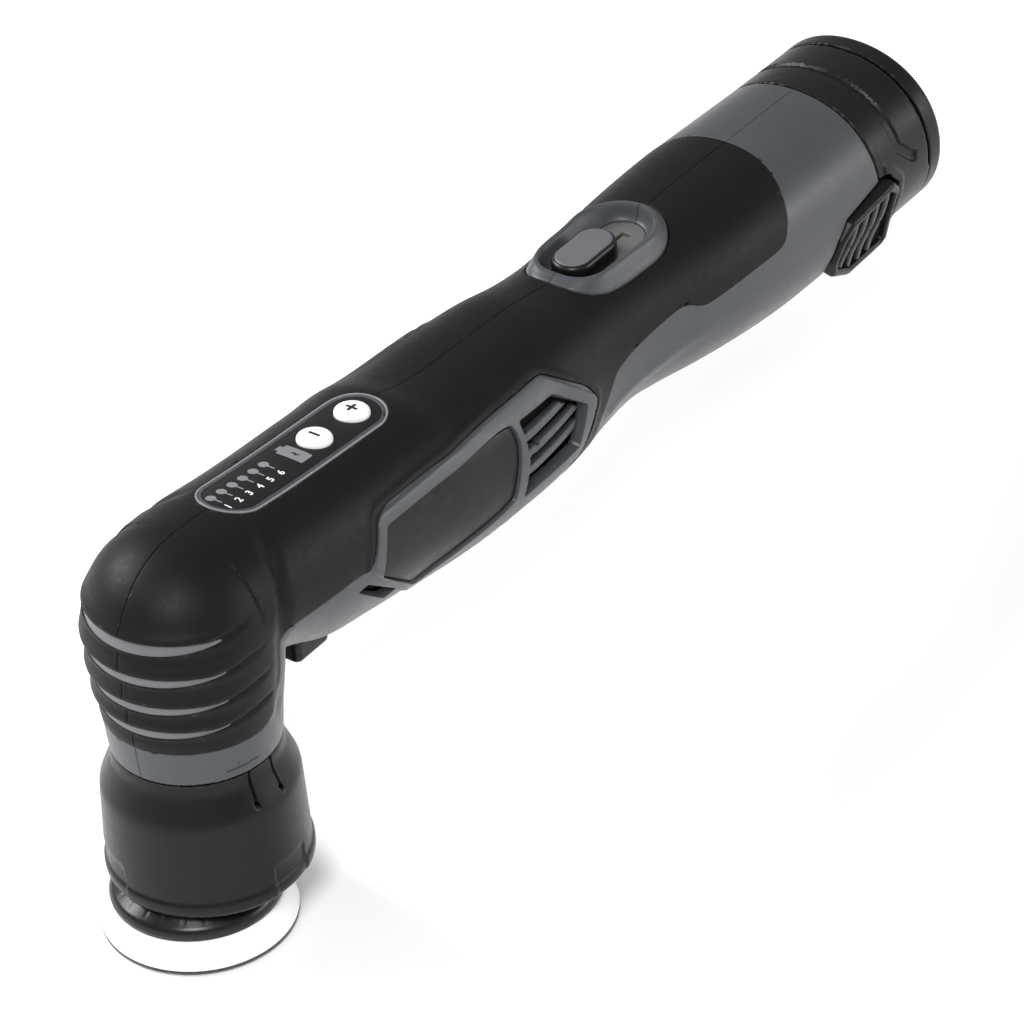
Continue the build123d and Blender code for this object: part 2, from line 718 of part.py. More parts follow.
def bevel(teeth, half_angle, pitch_r, hub_r, hub_len, bore_r, phase):
    ang = math.radians(half_angle)
    ro = CONE * math.sin(ang) - ROOT * math.cos(ang)
    zo = -CONE * math.cos(ang) - ROOT * math.sin(ang)
    ri = INNER * CONE * math.sin(ang) - INNER * ROOT * math.cos(ang)
    zi = -INNER * CONE * math.cos(ang) - INNER * ROOT * math.sin(ang)
    with BuildPart() as blank:
        with BuildSketch(Plane.XZ):
            with BuildLine():
                Polyline((bore_r, zi), (ri, zi), (ro, zo), (hub_r, zo - 1.2), (hub_r, zo - hub_len),
                         (bore_r, zo - hub_len), close=True)
            make_face()
        revolve(axis=Axis.Z)
        one = tooth(pitch_r, half_angle, 1)
        for k in range(teeth):
            add(one.rotate(Axis.Z, 360.0 * k / teeth + phase))
        with BuildSketch(Plane.XY.offset(zo - hub_len - 1)):
            Circle(bore_r)
        extrude(amount=40, mode=Mode.SUBTRACT)
    return blank.part


gear = bevel(GEAR_TEETH, GEAR_ANG, R_GEAR, 9.0, 5.0, SPINDLE_R, 0.0)
save(Pos(0, 0, MOTOR_Z) * gear, "bevel_gear")
pin = bevel(PINION_TEETH, PIN_ANG, R_PIN, 5.0, 6.0, SHAFT_R, 180.0 / PINION_TEETH)
save(Pos(0, 0, MOTOR_Z) * (Rot(0, -90, 0) * pin), "pinion_gear")

# ---------------------------------------------------------------- spindle and eccentric
with BuildPart() as spindle:
    with BuildSketch(Plane.XZ):
        with BuildLine():
            Polyline((0, 37.2), (3.7, 37.2), (SPINDLE_R, 37.5), (SPINDLE_R, 87.6), (3.5, 88.0),
                     (3.5, 94.2), (3.2, 94.5), (0, 94.5), close=True)
        make_face()
    revolve(axis=Axis.Z)
save(spindle.part, "spindle")

with BuildPart() as eccentric_carrier:
    with BuildSketch(Plane.XY.offset(29.0)):
        with Locations((PAD_X, 0)):
            Circle(12.0)
        with Locations((2.0, 0)):
            Circle(10.0)
    extrude(amount=13.0)
    with BuildSketch(Plane.XY.offset(34.0)):
        with BuildLine():
            l1 = CenterArc((0, 0), 19.5, -68, 136)
            Polyline(l1 @ 1, (2, 9.8), (2, -9.8), l1 @ 0)
        make_face()
    extrude(amount=8.0)
    with BuildSketch(Plane.XY.offset(42.0)):
        Circle(7.0)
    extrude(amount=2.0)
    with BuildSketch(Plane.XY.offset(29.0)):
        with Locations((PAD_X, 0)):
            Circle(9.5)
    extrude(amount=7.2, mode=Mode.SUBTRACT)
    with BuildSketch(Plane.XY.offset(36.0)):
        with Locations((PAD_X, 0)):
            Circle(5.5)
    extrude(amount=0.9, mode=Mode.SUBTRACT)
    with BuildSketch(Plane.XY.offset(37.2)):
        Circle(SPINDLE_R)
    extrude(amount=8.0, mode=Mode.SUBTRACT)
    fillet(eccentric_carrier.edges().filter_by(Axis.Z).filter_by(lambda e: e.center().X > 5 and e.center().Z > 34), 1.5)
save(eccentric_carrier.part, "eccentric_carrier")
save(bearing_z(SPINDLE_R + RUN, 9.5, 29.2, 36.2, PAD_X), "pad_bearing")

# ---------------------------------------------------------------- pad assembly
with BuildPart() as pad_spindle:
    with BuildSketch(Plane(origin=(PAD_X, 0, 0), x_dir=(1, 0, 0), z_dir=(0, -1, 0))):
        with BuildLine():
            Polyline((0, 10.5), (7.0, 10.5), (7.0, 12.5), (SPINDLE_R, 12.5), (SPINDLE_R, 35.9),
                     (3.6, 36.3), (0, 36.3), close=True)
        make_face()
    revolve(axis=Axis((PAD_X, 0, 0), (0, 0, 1)))
save(pad_spindle.part, "pad_spindle")

with BuildPart() as pad_hub:
    with BuildSketch(Plane(origin=(PAD_X, 0, 0), x_dir=(1, 0, 0), z_dir=(0, -1, 0))):
        with BuildLine():
            Polyline((0, 8.0), (22.0, 8.0), (22.2, 9.5), (21.6, 11.2), (17.0, 14.4), (15.5, 17.0),
                     (8.0, 19.0), (8.0, 27.5), (SPINDLE_R, 27.5), (SPINDLE_R, 12.5), (7.0, 12.5),
                     (7.0, 10.5), (0, 10.5), close=True)
        make_face()
    revolve(axis=Axis((PAD_X, 0, 0), (0, 0, 1)))
save(pad_hub.part, "pad_hub")

with BuildPart() as backing_pad:
    with BuildSketch(Plane(origin=(PAD_X, 0, 0), x_dir=(1, 0, 0), z_dir=(0, -1, 0))):
        with BuildLine():
            Polyline((0, 0.9), (PAD_R - 0.2, 0.9), (PAD_R, 1.3), (22.3, 7.6), (21.9, 8.0), (0, 8.0),
                     close=True)
        make_face()
    revolve(axis=Axis((PAD_X, 0, 0), (0, 0, 1)))
save(backing_pad.part, "backing_pad")
save(bar_z(PAD_R, 0.0, 0.9, PAD_X), "hook_face")

# ---------------------------------------------------------------- shroud
with BuildPart() as shroud:
    with BuildSketch(Plane.XZ):
        with BuildLine():
            Polyline((14.1, 52.4), (RING_R, 52.4), (22.0, 48.5), (25.0, 41.5), (25.4, 38.0),
                     (26.0, 20.0), (26.6, 18.4), (26.6, 15.4), (26.1, 14.8), (24.6, 14.8),
                     (24.2, 20.0), (23.6, 37.0), (22.9, 40.6), (20.4, 46.4), (19.4, 48.6),
                     (14.1, 48.6), close=True)
        make_face()
    revolve(axis=Axis.Z)
    for az in (-105.0, -84.0):
        a = math.radians(az)
        with BuildSketch(Plane.XY.offset(43.0)):
            with Locations(Location((22.0 * math.cos(a), 22.0 * math.sin(a), 0), (0, 0, az))):
                Rectangle(9.0, 1.4)
        extrude(amount=12.0, mode=Mode.SUBTRACT)
save(shroud.part, "shroud")

# ---------------------------------------------------------------- terminal block
with BuildPart() as terminal_block:
    with BuildSketch(across(200.0)):
        with Locations((0, PACK_Z + 1)):
            Rectangle(26, 20)
    extrude(amount=9.0)
    with BuildSketch(across(198.0)):
        with Locations((0, 76)):
            Rectangle(10, 8)
    extrude(amount=2.0)
save(terminal_block.part, "terminal_block")

with BuildPart() as terminal_blades:
    with BuildSketch(across(209.0)):
        with Locations((-8, PACK_Z), (0, PACK_Z), (8, PACK_Z)):
            Rectangle(0.8, 6.0)
    extrude(amount=9.0)
save(terminal_blades.part, "terminal_blades")

# ---------------------------------------------------------------- battery pack
with BuildPart() as pack_outside:
    for x, top, low, half, power in ((265.3, 95.2, 45.3, 27.0, 2.15), (276, 95.0, 45.1, 27.0, 2.12),
                                     (289.4, 94.8, 45.0, 26.9, 2.1)):
        with BuildSketch(across(x)):
            with BuildLine():
                Spline(*superellipse(half, (top - low) / 2, (top + low) / 2, power), periodic=True)
            make_face()
    loft()
shell_pack = pack_outside.part + bar_x(STEM_R, 212.0, 266.0, PACK_Z)
shell_pack = shell_pack - bar_x(STEM_R - 0.75, 214.5, 290.0, PACK_Z)
for y in (-8, 0, 8):
    shell_pack = shell_pack - block(210, 216, y - 0.9, y + 0.9, PACK_Z - 3.6, PACK_Z + 3.6)
with BuildPart() as pack_groove:
    for x, grow in ((274.6, 0.6), (277.4, 0.6)):
        with BuildSketch(across(x)):
            with BuildLine():
                Spline(*superellipse(27.0 + grow, 24.9 + grow, 70.05, 2.12), periodic=True)
            make_face()
    loft()
with BuildPart() as pack_groove_floor:
    for x in (274.0, 278.0):
        with BuildSketch(across(x)):
            with BuildLine():
                Spline(*superellipse(26.3, 24.2, 70.05, 2.12), periodic=True)
            make_face()
    loft()
groove_ring = (pack_groove.part - pack_groove_floor.part) & block(270, 280, -40, 40, 62, 110)
shell_pack = shell_pack - groove_ring
for side in (-1, 1):
    shell_pack = shell_pack - (latch_prism(LATCH_SEAT, side, -8.0, 6.2) & block(264, 290, -40, 40, 30, 100))
    shell_pack = shell_pack - latch_prism([(266.7, 3.0), (270.3, 3.0), (270.3, 11.0), (266.7, 11.0)], side, 6.0, 8.6)
save(shell_pack, "battery_shell")

with BuildPart() as battery_cap:
    for x, top, low, half, power in ((289.6, 94.8, 45.0, 26.9, 2.1), (294.0, 94.7, 45.0, 26.8, 2.1),
                                     (END_X, 93.6, 46.1, 25.7, 2.1)):
        with BuildSketch(across(x)):
            with BuildLine():
                Spline(*superellipse(half, (top - low) / 2, (top + low) / 2, power), periodic=True)
            make_face()
    loft(ruled=True)
    with BuildSketch(across(289.6)):
        with Locations((0, PACK_Z)):
            Circle(19.0)
    extrude(amount=3.0, mode=Mode.SUBTRACT)
save(battery_cap.part, "battery_cap")

with BuildPart() as battery_cells:
    with BuildSketch(across(220.0)):
        for k in range(3):
            a = math.radians(90 + 120 * k)
            with Locations((10.62 * math.cos(a), PACK_Z + 10.62 * math.sin(a))):
                Circle(CELL_R)
    extrude(amount=65.0)
save(battery_cells.part, "battery_cells")

with BuildPart() as battery_board:
    with BuildSketch(across(286.0)):
        with Locations((0, PACK_Z)):
            Circle(18.5)
    extrude(amount=1.4)
save(battery_board.part, "battery_board")

for side, label in ((-1, "latch_right"), (1, "latch_left")):
    latch = latch_prism(LATCH, side, 0.0, 4.6)
    inset = [(250.6, 0.2), (266.8, -2.2), (269.4, 0.4), (268.9, 9.4), (269.0, 15.2), (267.6, 16.2),
             (254.2, 17.0), (246.8, 13.0), (246.2, 8.8), (247.6, 3.8)]
    latch = latch - latch_prism(inset, side, -0.1, 1.2)
    for k in range(4):
        x = 250.4 + 5.0 * k
        latch = latch + latch_prism([(x, 12.6), (x + 1.5, 12.6), (x + 4.1, 2.2), (x + 2.7, 2.2)], side, 0.2, 1.3)
    latch = latch + latch_prism([(267.0, 3.4), (270.0, 3.4), (270.0, 10.6), (267.0, 10.6)], side, 4.5, 7.2)
    save(latch, label)
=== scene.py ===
import math

import bmesh
import bpy
import numpy as np
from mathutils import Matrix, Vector


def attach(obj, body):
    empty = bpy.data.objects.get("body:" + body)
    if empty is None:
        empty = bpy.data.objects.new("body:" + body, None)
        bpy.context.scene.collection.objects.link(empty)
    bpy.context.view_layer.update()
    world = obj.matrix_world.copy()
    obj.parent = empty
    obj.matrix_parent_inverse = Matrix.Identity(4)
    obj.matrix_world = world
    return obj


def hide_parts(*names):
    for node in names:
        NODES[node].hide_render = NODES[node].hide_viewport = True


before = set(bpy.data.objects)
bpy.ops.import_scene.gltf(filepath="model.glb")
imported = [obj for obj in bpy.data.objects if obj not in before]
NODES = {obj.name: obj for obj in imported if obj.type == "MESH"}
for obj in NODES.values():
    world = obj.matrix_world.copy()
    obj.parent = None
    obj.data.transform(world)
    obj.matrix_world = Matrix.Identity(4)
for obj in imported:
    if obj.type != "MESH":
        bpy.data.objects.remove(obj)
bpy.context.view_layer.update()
MM = 0.001

# ------------------------------------------------------------------ housing envelope, mm
STATIONS = np.array([
    (2, 113.0, 71.0, 24.4, 2.1), (14, 112.2, 70.4, 24.6, 2.15), (24, 111.0, 66.6, 24.7, 2.2),
    (31, 110.1, 63.4, 24.8, 2.25),
    (47, 108.5, 60.2, 24.9, 2.3), (60, 107.4, 58.3, 25.0, 2.35), (70, 106.6, 56.9, 25.2, 2.35),
    (80, 105.7, 55.6, 25.6, 2.4), (88, 103.6, 54.9, 25.9, 2.4), (97, 102.2, 54.1, 26.0, 2.4),
    (110, 101.4, 53.2, 25.8, 2.4), (123, 100.7, 52.5, 25.1, 2.4), (136, 99.8, 52.5, 23.7, 2.4),
    (149, 97.8, 53.9, 22.0, 2.35), (162, 96.6, 55.1, 21.6, 2.3), (175, 96.5, 53.6, 22.5, 2.3),
    (190, 96.6, 51.4, 24.6, 2.3), (205, 96.4, 49.6, 26.2, 2.3), (222, 96.3, 47.8, 27.0, 2.3),
    (245, 95.8, 46.4, 27.2, 2.2), (265, 95.2, 45.3, 27.0, 2.15)], float)


def hermite_table(rows, xs):
    x, y = rows[:, 0], rows[:, 1:]
    d = np.diff(y, axis=0) / np.diff(x)[:, None]
    m = np.vstack([d[:1], (d[1:] * np.diff(x)[:-1, None] + d[:-1] * np.diff(x)[1:, None])
                   / (np.diff(x)[1:] + np.diff(x)[:-1])[:, None], d[-1:]])
    i = np.clip(np.searchsorted(x, xs, side="right") - 1, 0, len(x) - 2)
    h = (x[i + 1] - x[i])
    t = ((xs - x[i]) / h)[:, None]
    h = h[:, None]
    return ((2 * t ** 3 - 3 * t ** 2 + 1) * y[i] + (t ** 3 - 2 * t ** 2 + t) * h * m[i]
            + (-2 * t ** 3 + 3 * t ** 2) * y[i + 1] + (t ** 3 - t ** 2) * h * m[i + 1])


TX = np.arange(2.0, 265.01, 0.25)
TT = hermite_table(STATIONS, TX)


def section(x):
    return [np.interp(x, TX, TT[:, k]) for k in range(4)]      # top, bottom, half width, exponent


def smooth01(t):
    t = np.clip(t, 0, 1)
    return t * t * (3 - 2 * t)


def round_max(a, b, r):
    # the overlap of two solids with their common edge rounded
    a, b = a + r, b + r
    return np.hypot(np.maximum(a, 0), np.maximum(b, 0)) + np.minimum(np.maximum(a, b), 0) - r


def f_handle(P):
    x, y, z = P[:, 0], P[:, 1], P[:, 2]
    top, low, half, n = section(x)
    mid, hh = (top + low) / 2, (top - low) / 2
    u, v = np.abs(y) / half, np.abs(z - mid) / hh
    g = np.maximum((u ** n + v ** n) ** (1 / n), 1e-6)
    rho = np.hypot(y, z - mid)
    d = rho * (1 - 1 / g)
    d = np.where(g < 0.2, -hh * 0.8, d)
    return round_max(np.maximum(d, 2.0 - x), x - 265.0, 0.7)


HEAD_Z0, DOME_Z, DOME_H, HEAD_R, RING_R = 52.7, 88.0, 25.08, 24.8, 21.6


def f_head(P):
    x, y, z = P[:, 0], P[:, 1], P[:, 2]
    rho = np.hypot(x, y)
    r = np.interp(z, [HEAD_Z0, 62.8, 66.0, 72.0, 80.0, DOME_Z], [RING_R, 22.5, 22.95, 23.7, 24.45, HEAD_R])
    low = (rho - r) * 0.995
    g = np.maximum(((rho / HEAD_R) ** 2.15 + (np.maximum(z - DOME_Z, 0) / DOME_H) ** 2.15) ** (1 / 2.15), 1e-6)
    up = np.hypot(rho, np.maximum(z - DOME_Z, 0)) * (1 - 1 / g)
    return np.maximum(np.where(z > DOME_Z, up, low), HEAD_Z0 - z)


CREASE = np.array([(19, 9.0, 111.2), (17, 12.5, 110.0), (14.6, 16.0, 107.6), (12.2, 19.6, 103.0), (10.4, 22.4, 97.0),
                   (9.2, 24.0, 91.5), (8.6, 24.6, 86.5), (8.0, 24.6, 80.0), (7.4, 24.2, 72.0), (7.6, 22.6, 66.0)])


def chaikin(pts, rounds=2, closed=True):
    p = np.asarray(pts, float)
    for _ in range(rounds):
        q = np.roll(p, -1, axis=0) if closed else p[1:]
        a = p if closed else p[:-1]
        new = np.stack([0.75 * a + 0.25 * q, 0.25 * a + 0.75 * q], axis=1).reshape(-1, p.shape[1])
        p = new if closed else np.vstack([p[:1], new, p[-1:]])
    return p


def round_poly(pts, r):
    # replaces each corner of a closed polygon by an arc-like run of points that starts r before it
    p = np.asarray(pts, float)
    out = []
    n = len(p)
    for i in range(n):
        a, b, c = p[i - 1], p[i], p[(i + 1) % n]
        la, lc = np.linalg.norm(a - b), np.linalg.norm(c - b)
        ra, rc = min(r, la * 0.45), min(r, lc * 0.45)
        s, e = b + (a - b) / la * ra, b + (c - b) / lc * rc
        for t in np.linspace(0, 1, 6):
            out.append((1 - t) ** 2 * s + 2 * t * (1 - t) * b + t * t * e)
    return np.array(out)


def seg_dist(P, line):
    # distance to an open polyline, and how far along it (0 to 1)
    best = np.full(len(P), 1e9)
    along = np.zeros(len(P))
    n = len(line) - 1
    for i in range(n):
        a, b = line[i], line[i + 1]
        ab = b - a
        t = np.clip(((P - a) @ ab) / (ab @ ab), 0, 1)
        d = np.linalg.norm(P - a - t[:, None] * ab, axis=1)
        m = d < best
        best[m] = d[m]
        along[m] = (i + t[m]) / n
    return best, along


def poly_sd(Q, poly):
    # signed distance in a plane to a closed polygon, negative inside
    best = np.full(len(Q), 1e18)
    inside = np.zeros(len(Q), bool)
    x, y = Q[:, 0], Q[:, 1]
    n = len(poly)
    for i in range(n):
        a, b = poly[i], poly[(i + 1) % n]
        ab = b - a
        L = ab @ ab
        if L < 1e-12:
            continue
        t = np.clip(((x - a[0]) * ab[0] + (y - a[1]) * ab[1]) / L, 0, 1)
        d = (x - a[0] - t * ab[0]) ** 2 + (y - a[1] - t * ab[1]) ** 2
        best = np.minimum(best, d)
        if a[1] != b[1]:
            m = ((a[1] > y) != (b[1] > y))
            xc = a[0] + (y - a[1]) / (b[1] - a[1]) * ab[0]
            inside ^= m & (x < xc)
    d = np.sqrt(best)
    return np.where(inside, -d, d)


def f_body(P):
    a, b = f_head(P), f_handle(P)
    k = 5.0 * smooth01((69 - P[:, 2]) / 6) + 0.01
    h = np.clip(k - np.abs(a - b), 0, None) / k
    f = np.minimum(a, b) - h * h * k / 4
    near = (P[:, 0] > 0) & (P[:, 0] < 26) & (np.abs(f) < 4)
    if near.any():
        Q = P[near].copy()
        Q[:, 1] = np.abs(Q[:, 1])
        d, t = seg_dist(Q, CREASE)
        depth = 1.5 * smooth01(t / 0.3)
        f[near] += depth * np.clip(1 - d / 4.2, 0, 1) ** 1.6
    return f


def project(f, V, rounds=3, eps=0.03, normal=False):
    for _ in range(rounds):
        v = f(V)
        g = np.stack([(f(V + e) - f(V - e)) / (2 * eps) for e in np.eye(3) * eps], axis=1)
        gg = np.maximum((g * g).sum(1), 1e-3)
        step = v / gg
        step = np.clip(step, -0.6, 0.6)
        V = V - g * step[:, None]
    if normal:
        g = np.stack([(f(V + e) - f(V - e)) / (2 * eps) for e in np.eye(3) * eps], axis=1)
        return V, g / np.maximum(np.linalg.norm(g, axis=1), 1e-9)[:, None]
    return V


def surface_net(f, lo, hi, h, block=8):
    lo, hi = np.asarray(lo, float), np.asarray(hi, float)
    nb = np.ceil((hi - lo) / (h * block)).astype(int)
    ii = np.stack(np.meshgrid(*[np.arange(n) for n in nb], indexing="ij"), -1).reshape(-1, 3)
    centre = lo + (ii + 0.5) * block * h
    val = f(centre)
    act = ii[np.abs(val) < block * h * 1.35]
    o = np.stack(np.meshgrid(*[np.arange(block + 1)] * 3, indexing="ij"), -1).reshape(-1, 3)
    cells, points = [], []
    edges = [[], [], []]
    N = nb * block + 2
    b1 = block + 1
    corner = np.array([(i, j, k) for i in (0, 1) for j in (0, 1) for k in (0, 1)])
    pairs = [(p, q) for p in range(8) for q in range(p + 1, 8) if np.abs(corner[p] - corner[q]).sum() == 1]
    for s in range(0, len(act), 600):
        A = act[s:s + 600]
        g = A[:, None, :] * block + o[None]
        v = f((lo + g * h).reshape(-1, 3)).reshape(len(A), b1, b1, b1)
        c = [v[:, i:i + block, j:j + block, k:k + block] for i, j, k in corner]
        neg = sum((x < 0).astype(np.int8) for x in c)
        m = (neg > 0) & (neg < 8)
        w = np.argwhere(m)
        cv = np.stack([x[m] for x in c], 1)
        acc, cnt = np.zeros((len(w), 3)), np.zeros(len(w))
        for p, q in pairs:
            a, b = cv[:, p], cv[:, q]
            x = (a < 0) != (b < 0)
            t = np.where(x, a / np.where(x, a - b, 1), 0)
            acc += np.where(x[:, None], corner[p] + t[:, None] * (corner[q] - corner[p]), 0)
            cnt += x
        base = A[w[:, 0]] * block + w[:, 1:]
        cells.append(base)
        points.append(lo + (base + acc / cnt[:, None]) * h)
        for ax, q in ((0, 4), (1, 2), (2, 1)):
            a, b = cv[:, 0] < 0, cv[:, q] < 0
            x = a != b
            edges[ax].append((base[x], a[x]))
    cells, points = np.vstack(cells), np.vstack(points)
    key = (cells[:, 0] * N[1] + cells[:, 1]) * N[2] + cells[:, 2]
    order = np.argsort(key)
    skey = key[order]
    quads = []
    for ax in range(3):
        base = np.vstack([e[0] for e in edges[ax]])
        sg = np.concatenate([e[1] for e in edges[ax]])
        d1, d2 = np.eye(3, dtype=int)[(ax + 1) % 3], np.eye(3, dtype=int)[(ax + 2) % 3]
        ring = [base, base - d1, base - d1 - d2, base - d2]
        idx, ok = [], np.ones(len(base), bool)
        for r in ring:
            k = (r[:, 0] * N[1] + r[:, 1]) * N[2] + r[:, 2]
            j = np.clip(np.searchsorted(skey, k), 0, len(skey) - 1)
            ok &= skey[j] == k
            idx.append(order[j])
        q = np.stack(idx, 1)
        q = np.where(sg[:, None], q, q[:, ::-1])
        quads.append(q[ok])
    return points, np.vstack(quads)


def quads_to_tris(V, Q):
    d1 = np.linalg.norm(V[Q[:, 0]] - V[Q[:, 2]], axis=1)
    d2 = np.linalg.norm(V[Q[:, 1]] - V[Q[:, 3]], axis=1)
    m = (d1 <= d2)[:, None]
    a = np.where(m, Q[:, [0, 1, 2]], Q[:, [0, 1, 3]])
    b = np.where(m, Q[:, [0, 2, 3]], Q[:, [1, 2, 3]])
    return np.vstack([a, b])


def compact(V, F, *more):
    used = np.zeros(len(V), bool)
    used[F.ravel()] = True
    new = np.cumsum(used) - 1
    return (V[used], new[F]) + tuple(m[used] for m in more)


def split_at(V, F, s, level):
    # cuts every triangle that crosses s == level, so that the level is a line of edges
    d = s - level
    d = np.where(np.abs(d) < 2e-3, 0, d)
    sg = np.sign(d).astype(int)
    S = sg[F]
    cross = (S.min(1) < 0) & (S.max(1) > 0)
    if not cross.any():
        return V, F, s
    T, S = F[cross], S[cross]
    zero = (S == 0).sum(1) == 1
    tot = S.sum(1)
    lone = np.where(zero, np.argmax(S == 0, axis=1), np.argmax(S == (-tot)[:, None], axis=1))
    T = np.take_along_axis(T, (lone[:, None] + np.arange(3)) % 3, axis=1)
    A, B = T[~zero], T[zero]
    E = np.vstack([A[:, [0, 1]], A[:, [0, 2]], B[:, [1, 2]]])
    key = np.sort(E, axis=1)
    uniq, inv = np.unique(key, axis=0, return_inverse=True)
    inv = inv.reshape(-1)
    a, b = uniq.T
    t = d[a] / (d[a] - d[b])
    NV = V[a] + t[:, None] * (V[b] - V[a])
    base = len(V)
    V = np.vstack([V, NV])
    s = np.concatenate([s, np.full(len(NV), float(level))])
    na = len(A)
    e1, e2, e3 = base + inv[:na], base + inv[na:2 * na], base + inv[2 * na:]
    out = [F[~cross],
           np.stack([A[:, 0], e1, e2], 1), np.stack([e1, A[:, 1], A[:, 2]], 1), np.stack([e1, A[:, 2], e2], 1),
           np.stack([B[:, 0], B[:, 1], e3], 1), np.stack([B[:, 0], e3, B[:, 2]], 1)]
    return V, np.vstack(out), s


def border(F):
    # directed border edges of an oriented triangle mesh
    E = np.vstack([F[:, [0, 1]], F[:, [1, 2]], F[:, [2, 0]]]).astype(np.int64)
    n = F.max() + 1
    k = E[:, 0] * n + E[:, 1]
    r = E[:, 1] * n + E[:, 0]
    return E[~np.isin(k, r)]


def drop_profile(s, r):
    t = np.clip((s + r) / r, 0, 1)
    return r * (1 - np.sqrt(np.maximum(1 - t * t, 0)))


def shell_piece(base, sfuns, r=0.25, thick=1.4, lift=0.0, dent=None, f=None, levels=(1.0, 0.62, 0.3, 0.1)):
    """A piece of a skin: where every one of sfuns is negative. Its border is rolled over with radius r, and an
    inner face and a rim close it."""
    V, F, Nn = base
    sfuns = sfuns if isinstance(sfuns, (list, tuple)) else [sfuns]
    # keep only what can matter, with a margin of one cell
    far = np.max([fn(V) for fn in sfuns], axis=0)
    F = F[(far[F] < 1.2).any(1)]
    V, F = compact(V, F)
    for fn in sfuns:
        s = fn(V)
        V, F, s = split_at(V, F, s, 0.0)
        F = F[(s[F] <= 1e-9).all(1)]
        V, F = compact(V, F)
        if f is not None:
            V = project(f, V, 1)
    for fn in sfuns:
        for lv in levels:
            V, F, s = split_at(V, F, np.minimum(fn(V), 0), -lv * r)
    be = border(F)
    rim = np.unique(be.ravel())
    if f is not None:
        V, Nn = project(f, V, 1, normal=True)
    else:
        Nn = mesh_normals(V, F)
    s = np.minimum(np.max([fn(V) for fn in sfuns], axis=0), 0)
    s[rim] = 0
    off = lift - drop_profile(s, r)
    if dent is not None:
        off = off - dent(V)
    out = V + Nn * off[:, None]
    inner = V - Nn * (thick - min(lift, 0) * 1.0)
    n = len(V)
    side = np.vstack([np.stack([be[:, 1], be[:, 0], be[:, 0] + n], 1), np.stack([be[:, 1], be[:, 0] + n, be[:, 1] + n], 1)])
    return np.vstack([out, inner]), np.vstack([F, F[:, ::-1] + n, side])


def mesh_normals(V, F):
    fn = np.cross(V[F[:, 1]] - V[F[:, 0]], V[F[:, 2]] - V[F[:, 0]])
    N = np.zeros_like(V)
    for k in range(3):
        np.add.at(N, F[:, k], fn)
    return N / np.maximum(np.linalg.norm(N, axis=1), 1e-12)[:, None]


def plane_grid(lo, hi, h):
    nx, ny = max(2, int(math.ceil((hi[0] - lo[0]) / h)) + 1), max(2, int(math.ceil((hi[1] - lo[1]) / h)) + 1)
    x, y = np.meshgrid(np.linspace(lo[0], hi[0], nx), np.linspace(lo[1], hi[1], ny), indexing="ij")
    V = np.stack([x.ravel(), y.ravel(), np.zeros(nx * ny)], 1)
    i, j = np.meshgrid(np.arange(nx - 1), np.arange(ny - 1), indexing="ij")
    a = (i * ny + j).ravel()
    return V, np.vstack([np.stack([a, a + ny, a + ny + 1], 1), np.stack([a, a + ny + 1, a + 1], 1)])


def relief(sd, lo, hi, height, levels, bottom, h=0.5, warp=None):
    """A closed piece on a plane: where sd < 0, its top at height(s, P) and its bottom at bottom; warp maps (u, v, w) to space."""
    V, F = plane_grid(lo, hi, h)
    s = sd(V)
    V, F, s = split_at(V, F, s, 0.0)
    F = F[(s[F] <= 1e-9).all(1)]
    V, F = compact(V, F)
    for lv in levels:
        V, F, s = split_at(V, F, np.minimum(sd(V), 0), -lv)
    be = border(F)
    s = np.minimum(sd(V), 0)
    s[np.unique(be.ravel())] = 0
    top, low = V.copy(), V.copy()
    top[:, 2] = height(s, V)
    low[:, 2] = bottom(V) if callable(bottom) else bottom
    n = len(V)
    side = np.vstack([np.stack([be[:, 1], be[:, 0], be[:, 0] + n], 1), np.stack([be[:, 1], be[:, 0] + n, be[:, 1] + n], 1)])
    A = np.vstack([top, low])
    if warp is not None:
        A = warp(A)
    return A, np.vstack([F, F[:, ::-1] + n, side])


def merge(parts):
    Vs, Fs, n = [], [], 0
    for V, F in parts:
        Vs.append(V)
        Fs.append(F + n)
        n += len(V)
    return np.vstack(Vs), np.vstack(Fs)


def quad_tri(V, Q):
    return V, np.vstack([Q[:, [0, 1, 2]], Q[:, [0, 2, 3]]])


# ------------------------------------------------------------------ materials
def srgb(r, g, b):
    return tuple((c / 12.92 if c <= 0.04045 else ((c + 0.055) / 1.055) ** 2.4) for c in (r / 255, g / 255, b / 255))


